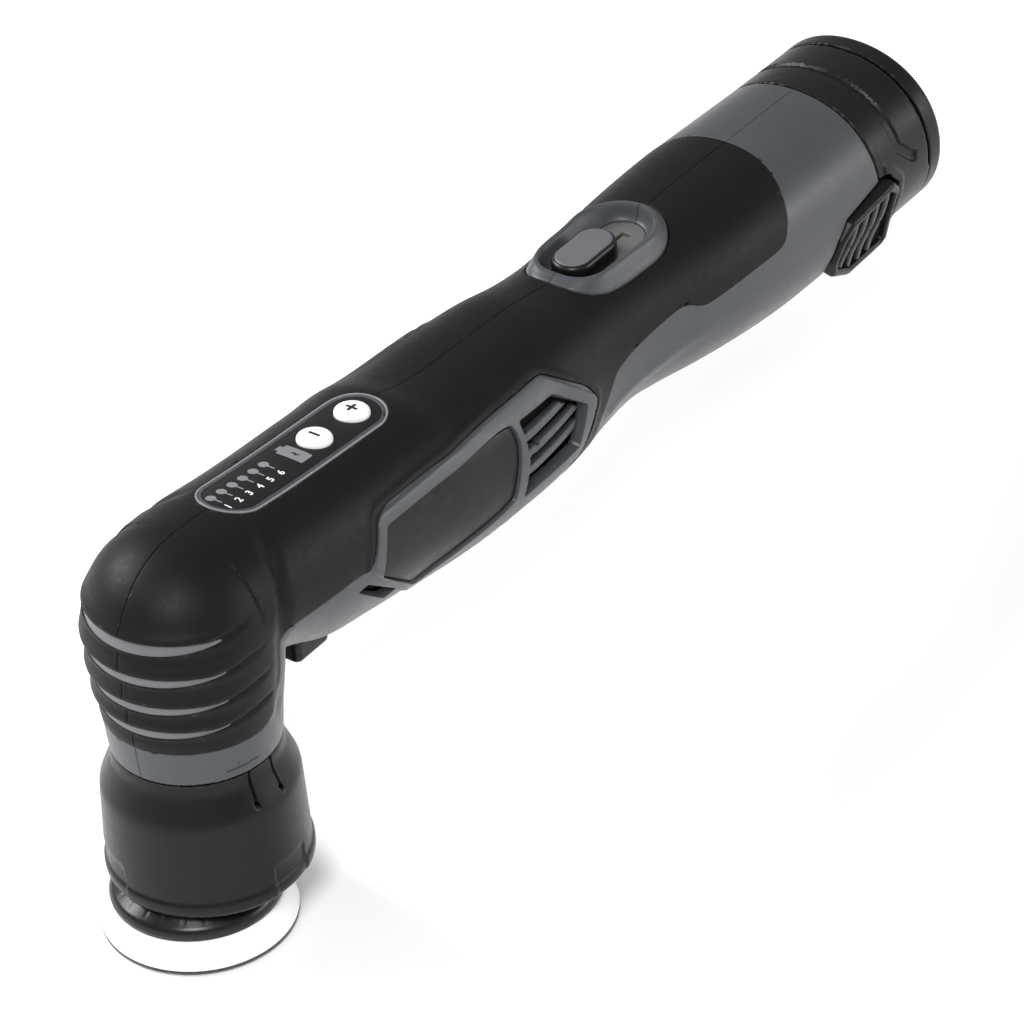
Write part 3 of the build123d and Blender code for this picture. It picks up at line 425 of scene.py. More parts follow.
class Graph:
    def __init__(self, name):
        self.mat = bpy.data.materials.new(name)
        self.mat.use_nodes = True
        self.nt = self.mat.node_tree
        self.nt.nodes.clear()
        self.out = self.nt.nodes.new("ShaderNodeOutputMaterial")
        self.bsdf = self.nt.nodes.new("ShaderNodeBsdfPrincipled")
        self.nt.links.new(self.bsdf.outputs[0], self.out.inputs[0])
        tc = self.nt.nodes.new("ShaderNodeTexCoord")
        sc = self.nt.nodes.new("ShaderNodeVectorMath")
        sc.operation = "SCALE"
        sc.inputs["Scale"].default_value = 1000.0
        self.nt.links.new(tc.outputs["Object"], sc.inputs[0])
        self.pos = sc.outputs[0]                                  # object coordinates in millimetres

    def put(self, sock, value):
        if isinstance(value, (int, float)):
            sock.default_value = value
        elif isinstance(value, (tuple, list)):
            sock.default_value = tuple(value) + ((1.0,) if len(value) == 3 and sock.type == "RGBA" else ())
        else:
            self.nt.links.new(value, sock)

    def math(self, op, a, b=0.0, c=0.0, clamp=False):
        n = self.nt.nodes.new("ShaderNodeMath")
        n.operation = op
        n.use_clamp = clamp
        for i, v in enumerate((a, b, c)):
            self.put(n.inputs[i], v)
        return n.outputs[0]

    def vmath(self, op, a, b=(0, 0, 0)):
        n = self.nt.nodes.new("ShaderNodeVectorMath")
        n.operation = op
        self.put(n.inputs[0], a)
        self.put(n.inputs[1], b)
        return n.outputs[0]

    def noise(self, scale, detail=3.0, rough=0.55, distort=0.0, vec=None):
        n = self.nt.nodes.new("ShaderNodeTexNoise")
        self.put(n.inputs["Vector"], vec if vec is not None else self.pos)
        n.inputs["Scale"].default_value = scale
        n.inputs["Detail"].default_value = detail
        n.inputs["Roughness"].default_value = rough
        n.inputs["Distortion"].default_value = distort
        return n.outputs[0]

    def voronoi(self, scale, feature="F1", vec=None, randomness=1.0):
        n = self.nt.nodes.new("ShaderNodeTexVoronoi")
        n.feature = feature
        self.put(n.inputs["Vector"], vec if vec is not None else self.pos)
        n.inputs["Scale"].default_value = scale
        n.inputs["Randomness"].default_value = randomness
        return n.outputs[0]

    def ramp(self, fac, stops, smooth=False):
        n = self.nt.nodes.new("ShaderNodeValToRGB")
        e = n.color_ramp.elements
        while len(e) < len(stops):
            e.new(0.5)
        for el, (p, c) in zip(e, stops):
            el.position = p
            el.color = (c, c, c, 1) if isinstance(c, (int, float)) else tuple(c) + (1,)
        if smooth:
            n.color_ramp.interpolation = "EASE"
        self.put(n.inputs[0], fac)
        return n.outputs[0]

    def mix(self, fac, a, b, blend="MIX"):
        n = self.nt.nodes.new("ShaderNodeMix")
        n.data_type = "RGBA"
        n.blend_type = blend
        self.put(n.inputs[0], fac)
        self.put(n.inputs[6], a)
        self.put(n.inputs[7], b)
        return n.outputs[2]

    def remap(self, v, a, b, c, d):
        n = self.nt.nodes.new("ShaderNodeMapRange")
        n.clamp = True
        self.put(n.inputs[0], v)
        for i, x in enumerate((a, b, c, d)):
            self.put(n.inputs[i + 1], x)
        return n.outputs[0]

    def xyz(self):
        n = self.nt.nodes.new("ShaderNodeSeparateXYZ")
        self.put(n.inputs[0], self.pos)
        return n.outputs

    def pointy(self):
        return self.nt.nodes.new("ShaderNodeNewGeometry").outputs["Pointiness"]

    def bump(self, height, mm, normal=None):
        n = self.nt.nodes.new("ShaderNodeBump")
        n.inputs["Strength"].default_value = 1.0
        n.inputs["Distance"].default_value = mm * MM
        self.put(n.inputs["Height"], height)
        if normal is not None:
            self.put(n.inputs["Normal"], normal)
        return n.outputs[0]

    def set(self, **kw):
        for k, v in kw.items():
            self.put(self.bsdf.inputs[k.replace("_", " ")], v)
        return self.mat


def scaled(c, k):
    return tuple(min(1.0, x * k) for x in c)


def plastic(name, color, rough=0.45, grain=2.2, depth=0.02, var=0.10, spec=0.5, wear=0.25, cells=False, coat=0.0):
    g = Graph(name)
    big = g.noise(0.035, 3, 0.6)
    mid = g.noise(0.22, 4, 0.6)
    blot = g.math("ADD", g.math("MULTIPLY", big, 0.6), g.math("MULTIPLY", mid, 0.4))
    col = g.mix(g.remap(blot, 0.35, 0.65, 0, 1), scaled(color, 1 - var), scaled(color, 1 + var))
    edge = g.remap(g.pointy(), 0.52, 0.60, 0, wear)
    rub = g.math("MULTIPLY", edge, g.remap(g.noise(0.8, 4, 0.7), 0.4, 0.6, 0.2, 1))
    col = g.mix(rub, col, scaled([c * 0.6 + 0.045 for c in color], 1.7))
    r = g.math("ADD", g.remap(g.noise(0.5, 5, 0.65), 0.3, 0.7, -0.05, 0.05),
               g.math("ADD", g.remap(big, 0.35, 0.65, -0.035, 0.035), rough))
    if cells:
        h = g.math("ADD", g.math("MULTIPLY", g.voronoi(grain, "SMOOTH_F1"), 0.65), g.math("MULTIPLY", g.noise(grain * 2.2, 3), 0.5))
    else:
        h = g.noise(grain, 4, 0.6)
    nrm = g.bump(h, depth)
    return g.set(Base_Color=col, Roughness=r, Normal=nrm, Specular_IOR_Level=spec, Coat_Weight=coat, Coat_Roughness=0.2)


def metal(name, color, rough=0.3, axis=None, depth=0.004, var=0.12):
    g = Graph(name)
    x, y, z = g.xyz()
    if axis == "x":      # turned about X: fine rings at constant x
        v = g.math("MULTIPLY", x, 6.0)
        n = g.nt.nodes.new("ShaderNodeCombineXYZ")
        g.put(n.inputs[0], v)
        rings = g.noise(1.0, 3, 0.7, vec=n.outputs[0])
    elif axis == "z":
        v = g.math("MULTIPLY", z, 6.0)
        n = g.nt.nodes.new("ShaderNodeCombineXYZ")
        g.put(n.inputs[2], v)
        rings = g.noise(1.0, 3, 0.7, vec=n.outputs[0])
    else:
        rings = g.noise(1.4, 5, 0.7)
    cloud = g.noise(0.12, 4, 0.6)
    col = g.mix(g.remap(cloud, 0.35, 0.65, 0, 1), scaled(color, 1 - var), scaled(color, 1 + var * 0.6))
    r = g.math("ADD", g.remap(rings, 0.3, 0.7, -0.07, 0.09), g.math("ADD", g.remap(cloud, 0.3, 0.7, -0.05, 0.05), rough))
    return g.set(Base_Color=col, Metallic=1.0, Roughness=r, Normal=g.bump(rings, depth))


M = {}
M["grey"] = plastic("moulded_grey", srgb(62, 65, 69), 0.40, grain=3.0, depth=0.012, var=0.06, spec=0.45, wear=0.25)
M["rubber"] = plastic("soft_rubber", srgb(13, 13, 14), 0.50, grain=1.6, depth=0.035, var=0.14, spec=0.17, wear=0.3, cells=True)
M["black"] = plastic("moulded_black", srgb(14, 14, 15), 0.36, grain=3.4, depth=0.010, var=0.12, spec=0.23, wear=0.35)
M["black_satin"] = plastic("satin_black", srgb(12, 12, 13), 0.30, grain=4.0, depth=0.006, var=0.12, spec=0.35, wear=0.3)
# painted shade: a darker, duller copy of the black plastic, put on recess floors, slot bottoms, vent openings and
# inside the bay and shroud to stand in for the shade there
M["dark"] = plastic("painted_shade_black", srgb(6, 6, 7), 0.7, grain=2.0, depth=0.02, var=0.2, spec=0.1, wear=0.0)
M["crescent_grey"] = plastic("crescent_grey", srgb(98, 99, 102), 0.40, grain=3.0, depth=0.010, var=0.06, wear=0.2)
M["rib_grey"] = plastic("rib_grey", srgb(70, 70, 72), 0.36, grain=3.4, depth=0.008, var=0.08, wear=0.3)
M["membrane"] = plastic("panel_membrane", srgb(17, 17, 20), 0.42, grain=5.0, depth=0.004, var=0.06, spec=0.25, wear=0.0)
M["ring_light"] = plastic("panel_ring_grey", srgb(120, 122, 126), 0.35, grain=4.0, depth=0.006, var=0.08, wear=0.2)
M["white"] = plastic("key_white", srgb(236, 236, 238), 0.30, grain=3.0, depth=0.004, var=0.02, wear=0.0)
M["foam_white"] = plastic("plate_white", srgb(240, 240, 240), 0.48, grain=2.4, depth=0.015, var=0.02, wear=0.0)
M["print_grey"] = plastic("print_grey", srgb(122, 122, 126), 0.45, grain=5.0, depth=0.003, var=0.10, wear=0.0)
M["print_white"] = plastic("print_white", srgb(232, 232, 234), 0.45, grain=5.0, depth=0.003, var=0.03, wear=0.0)
M["print_black"] = plastic("print_black", srgb(14, 14, 15), 0.45, grain=5.0, depth=0.003, var=0.10, wear=0.0)
M["track"] = plastic("track_grey", srgb(96, 94, 92), 0.5, grain=3.0, depth=0.008, var=0.08, wear=0.1)
M["knob_top"] = plastic("knob_cap", srgb(92, 90, 96), 0.42, grain=3.0, depth=0.008, var=0.06, wear=0.2)
M["steel"] = metal("ground_steel", (0.56, 0.56, 0.58), 0.28)
M["steel_x"] = metal("turned_steel_x", (0.58, 0.58, 0.60), 0.24, "x")
M["steel_z"] = metal("turned_steel_z", (0.58, 0.58, 0.60), 0.24, "z")
M["cast"] = metal("cast_aluminium", (0.62, 0.63, 0.65), 0.46, None, 0.02)
M["dark_steel"] = metal("black_oxide", (0.10, 0.10, 0.11), 0.42)
M["lamination"] = metal("laminated_core", (0.30, 0.30, 0.32), 0.45, "x", 0.02)
M["copper"] = metal("copper", (0.72, 0.36, 0.20), 0.34, "x", 0.015)
M["brass"] = metal("brass", (0.78, 0.60, 0.28), 0.3)
M["magnet"] = metal("magnet_grey", (0.16, 0.16, 0.17), 0.55)


def board_material():
    g = Graph("board_green")
    x, y, z = g.xyz()
    n = g.nt.nodes.new("ShaderNodeTexBrick")
    g.put(n.inputs["Vector"], g.pos)
    n.inputs["Scale"].default_value = 0.5
    n.inputs["Color1"].default_value = (0.012, 0.10, 0.035, 1)
    n.inputs["Color2"].default_value = (0.016, 0.13, 0.045, 1)
    n.inputs["Mortar"].default_value = (0.02, 0.19, 0.07, 1)
    n.inputs["Mortar Size"].default_value = 0.03
    dots = g.ramp(g.voronoi(0.45), [(0.0, 1.0), (0.16, 1.0), (0.20, 0.0), (1.0, 0.0)])
    col = g.mix(dots, n.outputs[0], (0.55, 0.42, 0.18))
    return g.set(Base_Color=col, Roughness=g.remap(g.noise(1.2), 0.3, 0.7, 0.28, 0.42), Normal=g.bump(n.outputs[1], 0.03))


def wrap_material():
    g = Graph("cell_wrap")
    x, y, z = g.xyz()
    band = g.ramp(g.math("DIVIDE", g.math("SUBTRACT", x, 220.0), 65.0), [(0.0, 0.0), (0.035, 0.0), (0.04, 1.0), (0.96, 1.0), (0.965, 0.0), (1.0, 0.0)])
    col = g.mix(band, (0.55, 0.55, 0.57), g.mix(g.noise(0.2), (0.02, 0.09, 0.24), (0.03, 0.13, 0.33)))
    return g.set(Base_Color=col, Roughness=g.remap(g.noise(0.8), 0.3, 0.7, 0.22, 0.36), Normal=g.bump(g.noise(0.9, 4), 0.03))


def hook_material():
    g = Graph("hook_layer")
    h = g.math("MULTIPLY", g.voronoi(1.9), 1.0)
    col = g.mix(g.noise(1.8, 4), srgb(10, 10, 11), srgb(34, 34, 35))
    return g.set(Base_Color=col, Roughness=0.85, Normal=g.bump(h, 0.35), Sheen_Weight=0.3, Sheen_Roughness=0.6)


def marble_material():
    # the smoky plate: near-black with faint branching veins and cloudy patches
    g = Graph("smoky_plate")
    warp = g.nt.nodes.new("ShaderNodeTexNoise")
    g.put(warp.inputs["Vector"], g.pos)
    warp.inputs["Scale"].default_value = 0.09
    warp.inputs["Detail"].default_value = 4
    off = g.vmath("MULTIPLY", g.vmath("SUBTRACT", warp.outputs[1], (0.5, 0.5, 0.5)), (9.0, 9.0, 9.0))
    p = g.vmath("ADD", g.pos, off)
    vein = g.ramp(g.voronoi(0.16, "DISTANCE_TO_EDGE", vec=p), [(0.0, 1.0), (0.010, 0.5), (0.04, 0.0), (1.0, 0.0)])
    where = g.remap(g.noise(0.06, 3), 0.47, 0.66, 0, 1)
    cloud = g.remap(g.noise(0.13, 5, 0.6), 0.45, 0.75, 0, 1)
    col = g.mix(g.math("MULTIPLY", cloud, 0.7), srgb(10, 10, 11), srgb(26, 25, 25))
    col = g.mix(g.math("MULTIPLY", vein, g.math("MULTIPLY", where, 0.35)), col, srgb(62, 58, 54))
    return g.set(Base_Color=col, Roughness=g.remap(g.noise(0.4, 4), 0.3, 0.7, 0.30, 0.42), Normal=g.bump(g.noise(3.0, 3), 0.005),
                 Specular_IOR_Level=0.2, Coat_Weight=0.05, Coat_Roughness=0.2)


M["board"] = board_material()
M["wrap"] = wrap_material()
M["hook"] = hook_material()
M["smoky"] = marble_material()


# ------------------------------------------------------------------ pieces
def piece(name, V, F, mat, body, replaces=(), slot=None, sharp=32.0, mats=None, face_mat=None):
    me = bpy.data.meshes.new(name)
    V = np.asarray(V, np.float64) * MM
    if isinstance(F, np.ndarray):
        k = F.shape[1]
        me.vertices.add(len(V))
        me.vertices.foreach_set("co", V.astype(np.float32).ravel())
        me.loops.add(F.size)
        me.loops.foreach_set("vertex_index", F.astype(np.int32).ravel())
        me.polygons.add(len(F))
        me.polygons.foreach_set("loop_start", np.arange(0, F.size, k, dtype=np.int32))
        me.update(calc_edges=True)
        me.validate()
    else:
        me.from_pydata([tuple(v) for v in V], [], [tuple(f) for f in F])
        me.validate()
    me.shade_smooth()
    if sharp:
        me.set_sharp_from_angle(angle=math.radians(sharp))
    for m in (mats or [mat]):
        me.materials.append(M[m])
    if face_mat is not None:
        me.polygons.foreach_set("material_index", np.asarray(face_mat, np.int32))
    ob = bpy.data.objects.new(name, me)
    bpy.context.scene.collection.objects.link(ob)
    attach(ob, body)
    if replaces:
        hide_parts(*replaces)
    return ob


def join_meshes(parts):
    Vs, Fs, n = [], [], 0
    for V, F in parts:
        Vs.append(np.asarray(V, float))
        Fs += [tuple(int(i) + n for i in f) for f in F] if not isinstance(F, np.ndarray) else [tuple(r) for r in (F + n).tolist()]
        n += len(V)
    return np.vstack(Vs), Fs


def lathe(profile, seg=160, centre=(0, 0), close=False, bump=None):
    """Turns a profile of (radius, z) about a vertical axis; radius 0 at an end closes it in a fan."""
    pr = np.asarray(profile, float)
    a = np.linspace(0, 2 * math.pi, seg, endpoint=False)
    V = np.zeros((len(pr), seg, 3))
    rr = np.repeat(pr[:, :1], seg, 1)
    if bump is not None:
        rr = rr + bump(np.repeat(a[None], len(pr), 0), np.repeat(pr[:, 1:2], seg, 1))
    V[..., 0] = centre[0] + rr * np.cos(a)
    V[..., 1] = centre[1] + rr * np.sin(a)
    V[..., 2] = pr[:, 1:2]
    n = len(pr)
    i, j = np.meshgrid(np.arange(n if close else n - 1), np.arange(seg), indexing="ij")
    i2, j2 = (i + 1) % n, (j + 1) % seg
    F = np.stack([i * seg + j, i * seg + j2, i2 * seg + j2, i2 * seg + j], -1).reshape(-1, 4)
    return V.reshape(-1, 3), F


def rounded(profile, r, steps=4, closed=True):
    """Rounds the corners of a polyline of (radius, z) points by up to r (a number, or one for each point)."""
    p = np.asarray(profile, float)
    n = len(p)
    rr = np.full(n, r) if np.isscalar(r) else np.asarray(r, float)
    out = []
    for i in range(n):
        if (not closed and i in (0, n - 1)) or rr[i] <= 0:
            out.append(p[i])
            continue
        a, b, c = p[i - 1], p[i], p[(i + 1) % n]
        la, lc = np.linalg.norm(a - b), np.linalg.norm(c - b)
        k = min(rr[i], la * 0.45, lc * 0.45)
        s, e = b + (a - b) / la * k, b + (c - b) / lc * k
        for t in np.linspace(0, 1, steps):
            out.append((1 - t) ** 2 * s + 2 * t * (1 - t) * b + t * t * e)
    return np.array(out)


# ------------------------------------------------------------------ side view outlines, mm (x, z)
GRIP = [(-60, 62.9), (-2, 62.9), (1.6, 63.6), (5.1, 66.6), (8.3, 71.8), (8.8, 77), (9.0, 83),
        (10.9, 86.6), (38.3, 85.4), (42.2, 84.4), (44.6, 86.5), (48.8, 95.3), (53.7, 96.8),
        (121.9, 94.3), (135.5, 83.9), (139.8, 78.2), (138.3, 74.7), (136.1, 69.6), (131.8, 66.0),
        (128.5, 61.0), (127.0, 30), (140.5, 30), (140.5, 62), (142.0, 69.2), (145.8, 72.9),
        (150.4, 78.2), (157.2, 79.9), (170.6, 81.3), (178.9, 82.0), (182.4, 81.2), (185.6, 79.3),
        (188.4, 78.3), (193, 78.3), (206, 78.7), (218.7, 78.7), (222, 79.9), (225, 83.7),
        (227.6, 88), (230.0, 91.5), (231.9, 94.2), (234.2, 98), (234.2, 140), (-60, 140)]
GRIP_S = round_poly(GRIP, 2.2)
PLATE = [(49.5, 88.5), (51, 92.3), (98.5, 91.3), (103.3, 90.6), (104, 86), (102.8, 80),
         (100, 71), (95, 69.8), (63, 66.8), (47, 80)]
PLATE_S = round_poly(PLATE, 1.2)
HEX = [(43, 84), (49, 96), (121, 94.5), (140, 78), (131, 65), (63, 63)]
RECT_VENT = np.array([(41.4, 80.9), (54.6, 70.6), (50.4, 69.8), (37.6, 80.7)], float)
LOUVRES = [(107.8, 121.5, 87.0), (108.0, 128.5, 82.0), (107.2, 131.8, 77.0), (105.8, 131.5, 72.0)]
SLIT_Z = (69.2, 77.1, 85.9, 95.2)
PANEL_X, PANEL_L, PANEL_W = 46.5, 65.8, 18.0
EGG_HALF = [(152.8, 0), (153.2, 5), (155.5, 9.2), (160, 12), (166, 13.2), (175, 13.8), (183, 13.9),
            (188.5, 12.2), (192.8, 8.8), (195.5, 4.7), (196.5, 0)]


def closed_spline(pts, n=160):
    # a periodic Catmull-Rom curve through the points, by arc length
    p = np.asarray(pts, float)
    m = len(p)
    out = []
    for i in range(m):
        a, b, c, d = p[i - 1], p[i], p[(i + 1) % m], p[(i + 2) % m]
        for t in np.linspace(0, 1, 12, endpoint=False):
            out.append(0.5 * ((2 * b) + (-a + c) * t + (2 * a - 5 * b + 4 * c - d) * t * t + (-a + 3 * b - 3 * c + d) * t ** 3))
    out = np.array(out)
    s = np.concatenate([[0], np.cumsum(np.linalg.norm(np.diff(np.vstack([out, out[:1]]), axis=0), axis=1))])
    u = np.linspace(0, s[-1], n, endpoint=False)
    return np.stack([np.interp(u, s, np.append(out[:, k], out[0, k])) for k in (0, 1)], 1)


EGG = closed_spline([(x, y) for x, y in EGG_HALF] + [(x, -y) for x, y in EGG_HALF[-2:0:-1]])


def sd_slot(P, cx, length, width):
    # a stadium in plan, along X
    hx = (length - width) / 2
    x = np.maximum(np.abs(P[:, 0] - cx) - hx, 0)
    return np.hypot(x, P[:, 1]) - width / 2


def sd_egg(P):
    out = np.full(len(P), 20.0)
    m = (P[:, 0] > 145) & (P[:, 0] < 205) & (P[:, 2] > 75)
    if m.any():
        out[m] = poly_sd(P[m][:, :2], EGG)
    return out


def sd_side(P, poly, y_sign=0):
    return poly_sd(P[:, [0, 2]], np.asarray(poly, float))


def front_angle(P):
    return np.abs(np.degrees(np.arctan2(P[:, 1], -P[:, 0])))          # 0 at the very front of the head


def crescent(P, k):
    # lens-shaped opening round the front of the head: negative inside
    phi = front_angle(P)
    w = 1.6 * np.sqrt(np.clip(1 - (phi / 64.0) ** 2, 0, 1)) ** 1.1
    zc = SLIT_Z[k] + 0.7 * (phi / 64.0) ** 2
    return np.where(P[:, 0] < 3, np.abs(P[:, 2] - zc) - w + np.where(phi > 64, (phi - 64) * 0.4, 0), 30.0)


def crescents(P):
    return np.min([crescent(P, k) for k in range(4)], axis=0)


def box_sd(u, v, a, b, r=0.4):
    x, y = np.abs(u) - a + r, np.abs(v) - b + r
    return np.hypot(np.maximum(x, 0), np.maximum(y, 0)) + np.minimum(np.maximum(x, y), 0) - r


# latch face coordinates
LATCH_TILT, LATCH_Y, LATCH_Z = math.radians(15.0), 28.5, 68.0


def latch_coords(P, side):
    c, s = math.cos(LATCH_TILT), math.sin(LATCH_TILT)
    y = P[:, 1] - side * LATCH_Y
    z = P[:, 2] - LATCH_Z
    down = -(side * s * y + c * z) if False else -(z * c + side * y * s)
    depth = -side * y * c + z * s
    return P[:, 0], down, depth


LATCH = np.array([(249.6, -2.0), (268.4, -5.0), (272.6, -1.0), (271.6, 9.4), (271.8, 16.6), (269.5, 18.4),
                  (253.4, 19.3), (244.2, 14.2), (243.4, 8.6), (245.4, 2.5)])
LATCH_POCKET = np.array([(248.9, -2.7), (268.4, -5.9), (285.0, -5.9), (285.0, 20.3), (253.0, 20.3),
                         (243.4, 14.8), (242.6, 8.4), (244.7, 2.1)])
SCREWS = [(1.0, 104.6, 10.0), (146.0, 88.5, 12.0), (146.0, 61.5, 12.0), (193.5, 88.0, 12.0), (193.5, 58.0, 12.0)]


def latch_open(P):
    out = np.full(len(P), 30.0)
    for side in (-1, 1):
        m = (P[:, 0] > 236) & (side * P[:, 1] > 5)
        if m.any():
            x, s, d = latch_coords(P[m], side)
            out[m] = poly_sd(np.stack([x, s], 1), LATCH_POCKET)
    return out


def screw_open(P):
    out = np.full(len(P), 30.0)
    for x, z, seat in SCREWS:
        d = np.hypot(P[:, 0] - x, P[:, 2] - z) - 3.1
        out = np.where(P[:, 1] > 5, np.minimum(out, d), out)
    return out


GAP = 0.06
q = 1.0
h0 = 0.62 * q
BV, BQ = surface_net(f_body, (-28, -31, 44), (268, 31, 117), h0)
BV, BN = project(f_body, BV, 3, normal=True)
BF = quads_to_tris(BV, BQ)
BASE = (BV, BF, BN)


def grip_s(P):
    return sd_side(P, GRIP_S)


def frame_outline(P):
    return sd_side(P, round_poly(HEX, 2.0))


HEX_S = round_poly(HEX, 2.5)
_slots = {}


def s_parts_grip(side):
    return [lambda P: grip_s(P) + GAP, lambda P: -side * P[:, 1] + GAP,
            lambda P: np.where(P[:, 2] > 95, 0.1 - sd_slot(P, PANEL_X, PANEL_L, PANEL_W), -30),
            lambda P: 0.35 - sd_egg(P), lambda P: -crescents(P), lambda P: -screw_open(P)]


def dent_grip(P):
    # fine grooves that run on from the crescents' tips; each crescent's upper lip stands proud of the lower one
    phi, z = front_angle(P), P[:, 2]
    front = (P[:, 0] < 10)
    out = np.zeros(len(P))
    for k in range(4):
        zc = SLIT_Z[k] + 0.7 * (phi / 64.0) ** 2 + np.clip(phi - 60, 0, 60) * 0.045
        fade = smooth01((phi - 50) / 12) * smooth01((104 - 4 * k - phi) / 16)
        out = np.maximum(out, 0.75 * fade * np.exp(-((z - zc) / 0.75) ** 2) * front)
    t = np.zeros(len(P))
    for k in range(4):
        dz = z - SLIT_Z[k]
        fade = smooth01((82 - phi) / 28) * (P[:, 0] < 3)
        t += 0.5 * np.exp(-((dz - 2.2) / 1.6) ** 2) * fade - 0.35 * np.exp(-((dz + 2.2) / 1.3) ** 2) * fade
    hx = poly_sd(P[:, [0, 2]], HEX_S)
    t += 0.35 * np.exp(-((hx - 1.6) / 1.1) ** 2) * (P[:, 0] > 30) * (P[:, 0] < 150) * (np.abs(P[:, 1]) > 12)
    return out - t


for side, hand in ((-1, "right"), (1, "left")):
    V, F = shell_piece(BASE, s_parts_grip(side), r=0.30, thick=1.3, lift=0.10, dent=dent_grip, f=f_body)
    piece("grip_skin_" + hand, V, F, "rubber", "housing", replaces=["grip_" + hand], slot="grip_rubber")
V, F = shell_piece(BASE, [lambda P: crescents(P) - 1.0, lambda P: P[:, 0] + 4], r=0.1, thick=0.5, lift=-0.5, f=f_body)
piece("head_crescent_liner", V, F, "crescent_grey", "housing", slot="housing_grey")


def rect_vent_sd(P, grow=0.0):
    return np.where(np.abs(P[:, 1]) > 8, poly_sd(P[:, [0, 2]], round_poly(RECT_VENT[::-1], 0.8)) - grow, 30.0)


VENT_ZONE = round_poly([(106.2, 90.2), (121.6, 89.4), (134.4, 79.0), (129.4, 68.8), (103.8, 69.2), (106.6, 79.0)], 1.0)


def vent_zone_sd(P, grow=0.0):
    return poly_sd(P[:, [0, 2]], VENT_ZONE) - grow


def lock_open(P):
    return np.where(P[:, 2] < 75, box_sd(P[:, 0] - 37.5, P[:, 1], 7.3, 9.4, 2.2), 30.0)


def s_parts_grey(side):
    return [lambda P: -(grip_s(P) - 0.02), lambda P: -side * P[:, 1] + GAP, lambda P: 0.30 - sd_side(P, PLATE_S),
            lambda P: -rect_vent_sd(P), lambda P: -vent_zone_sd(P), lambda P: -lock_open(P), lambda P: 0.45 - latch_open(P),
            lambda P: -screw_open(P), lambda P: np.where(P[:, 0] > 263.5, 21.2 - np.hypot(P[:, 1], P[:, 2] - 71.2), -30)]


UNDER = np.array([(64.9, 62.6), (80, 61.9), (105.8, 61.5), (112, 61.5)], float)


def dent_grey(P):
    # the frame band stands proud of the flank behind a fine groove, and a light facet runs back along the flank
    Q = P[:, [0, 2]]
    hx = poly_sd(Q, HEX_S)
    d, t = seg_dist(Q, UNDER)
    out = -0.70 * smooth01((0.5 - hx) / 0.9)
    out += 0.8 * np.clip(1 - d / 0.7, 0, 1) * smooth01(t / 0.1) * smooth01((1 - t) / 0.15) * (np.abs(P[:, 1]) > 12)
    d, t = seg_dist(Q, np.array([(143.0, 67.5), (158, 69.3), (177.0, 70.6), (196, 71.0)]))
    out -= 0.55 * np.exp(-(d / 2.2) ** 2) * smooth01(t / 0.12) * smooth01((1 - t) / 0.5) * (np.abs(P[:, 1]) > 12)
    return out


for side, hand in ((-1, "right"), (1, "left")):
    V, F = shell_piece(BASE, s_parts_grey(side), r=0.22, thick=2.6, dent=dent_grey, f=f_body)
    piece("housing_shell_" + hand, V, F, "grey", "housing", replaces=["housing_" + hand], slot="housing_grey")
    one = lambda P: -side * P[:, 1] + 8
    V, F = shell_piece(BASE, [lambda P: sd_side(P, PLATE_S) + 0.05, one], r=0.14, thick=1.2, lift=-0.25, f=f_body)
    piece("smoky_plate_" + hand, V, F, "smoky", "housing", replaces=["side_plate_" + hand], slot="gloss_black")
    # painted shade: a dark sheet sunk behind the vent openings stands in for the shade inside them
    V, F = shell_piece(BASE, [lambda P: np.minimum(vent_zone_sd(P, 0.8), rect_vent_sd(P, 0.8)), one], r=0.1, thick=0.5, lift=-3.4, f=f_body)
    piece("vent_shade_sheet_" + hand, V, F, "dark", "housing", slot="black_plastic")
    blades = []
    for zc in (84.6, 79.6, 74.6):
        bar = lambda P: np.abs(P[:, 2] - zc + 0.012 * (P[:, 0] - 115)) - 1.25
        V, F = shell_piece(BASE, [bar, lambda P: vent_zone_sd(P, -0.9) - 0.85 * (P[:, 0] < 112), one], r=0.7, thick=2.6, lift=-0.55,
                           dent=lambda P: 0.05 * np.clip(P[:, 0] - 112, 0, 30), f=f_body, levels=(1.0, 0.75, 0.5, 0.25, 0.08))
        blades.append((V, F))
    V, F = merge(blades)
    piece("vent_blades_" + hand, V, F, "grey", "housing", slot="housing_grey")


# ------------------------------------------------------------------ speed panel
def drop_z(xy):
    # height of the housing's upper surface at each (x, y)
    P = np.column_stack([xy, np.full(len(xy), 0.0)])
    top = np.interp(P[:, 0], TX, TT[:, 0])
    P[:, 2] = top - 0.01 * P[:, 1] ** 2
    for _ in range(6):
        v = f_body(P)
        g = (f_body(P + [0, 0, 0.05]) - f_body(P - [0, 0, 0.05])) / 0.1
        P[:, 2] -= np.clip(v / np.maximum(g, 0.2), -1, 1)
    return P[:, 2]


up_side = lambda P: np.where(P[:, 2] > 95, -30, 30)
slot_sd = lambda P: np.where(P[:, 2] > 95, sd_slot(P, PANEL_X, PANEL_L, PANEL_W), 30)
V, F = shell_piece(BASE, [lambda P: slot_sd(P) + 0.02, lambda P: -(slot_sd(P) + 0.62)], r=0.16, thick=1.4, lift=0.16, f=f_body)
A = (V, F)
piece("panel_bright_ring", V, F, "ring_light", "housing", replaces=["panel_ring"], slot="housing_grey")
V, F = shell_piece(BASE, [lambda P: slot_sd(P) + 0.72, lambda P: -(slot_sd(P) + 1.55)], r=0.14, thick=1.4, lift=-0.02, f=f_body)
piece("panel_inner_ring", V, F, "grey", "housing", slot="housing_grey")
keys = [(70.4, 107.9), (55.3, 109.0)]
key_hole = lambda P: -np.min([np.hypot(P[:, 0] - x, P[:, 1]) - 4.95 for x, _ in keys], axis=0)
V, F = shell_piece(BASE, [lambda P: slot_sd(P) + 1.60, key_hole], r=0.12, thick=1.1, lift=-0.18, f=f_body)
piece("panel_membrane", V, F, "membrane", "housing", replaces=["control_panel"], slot="panel_black")


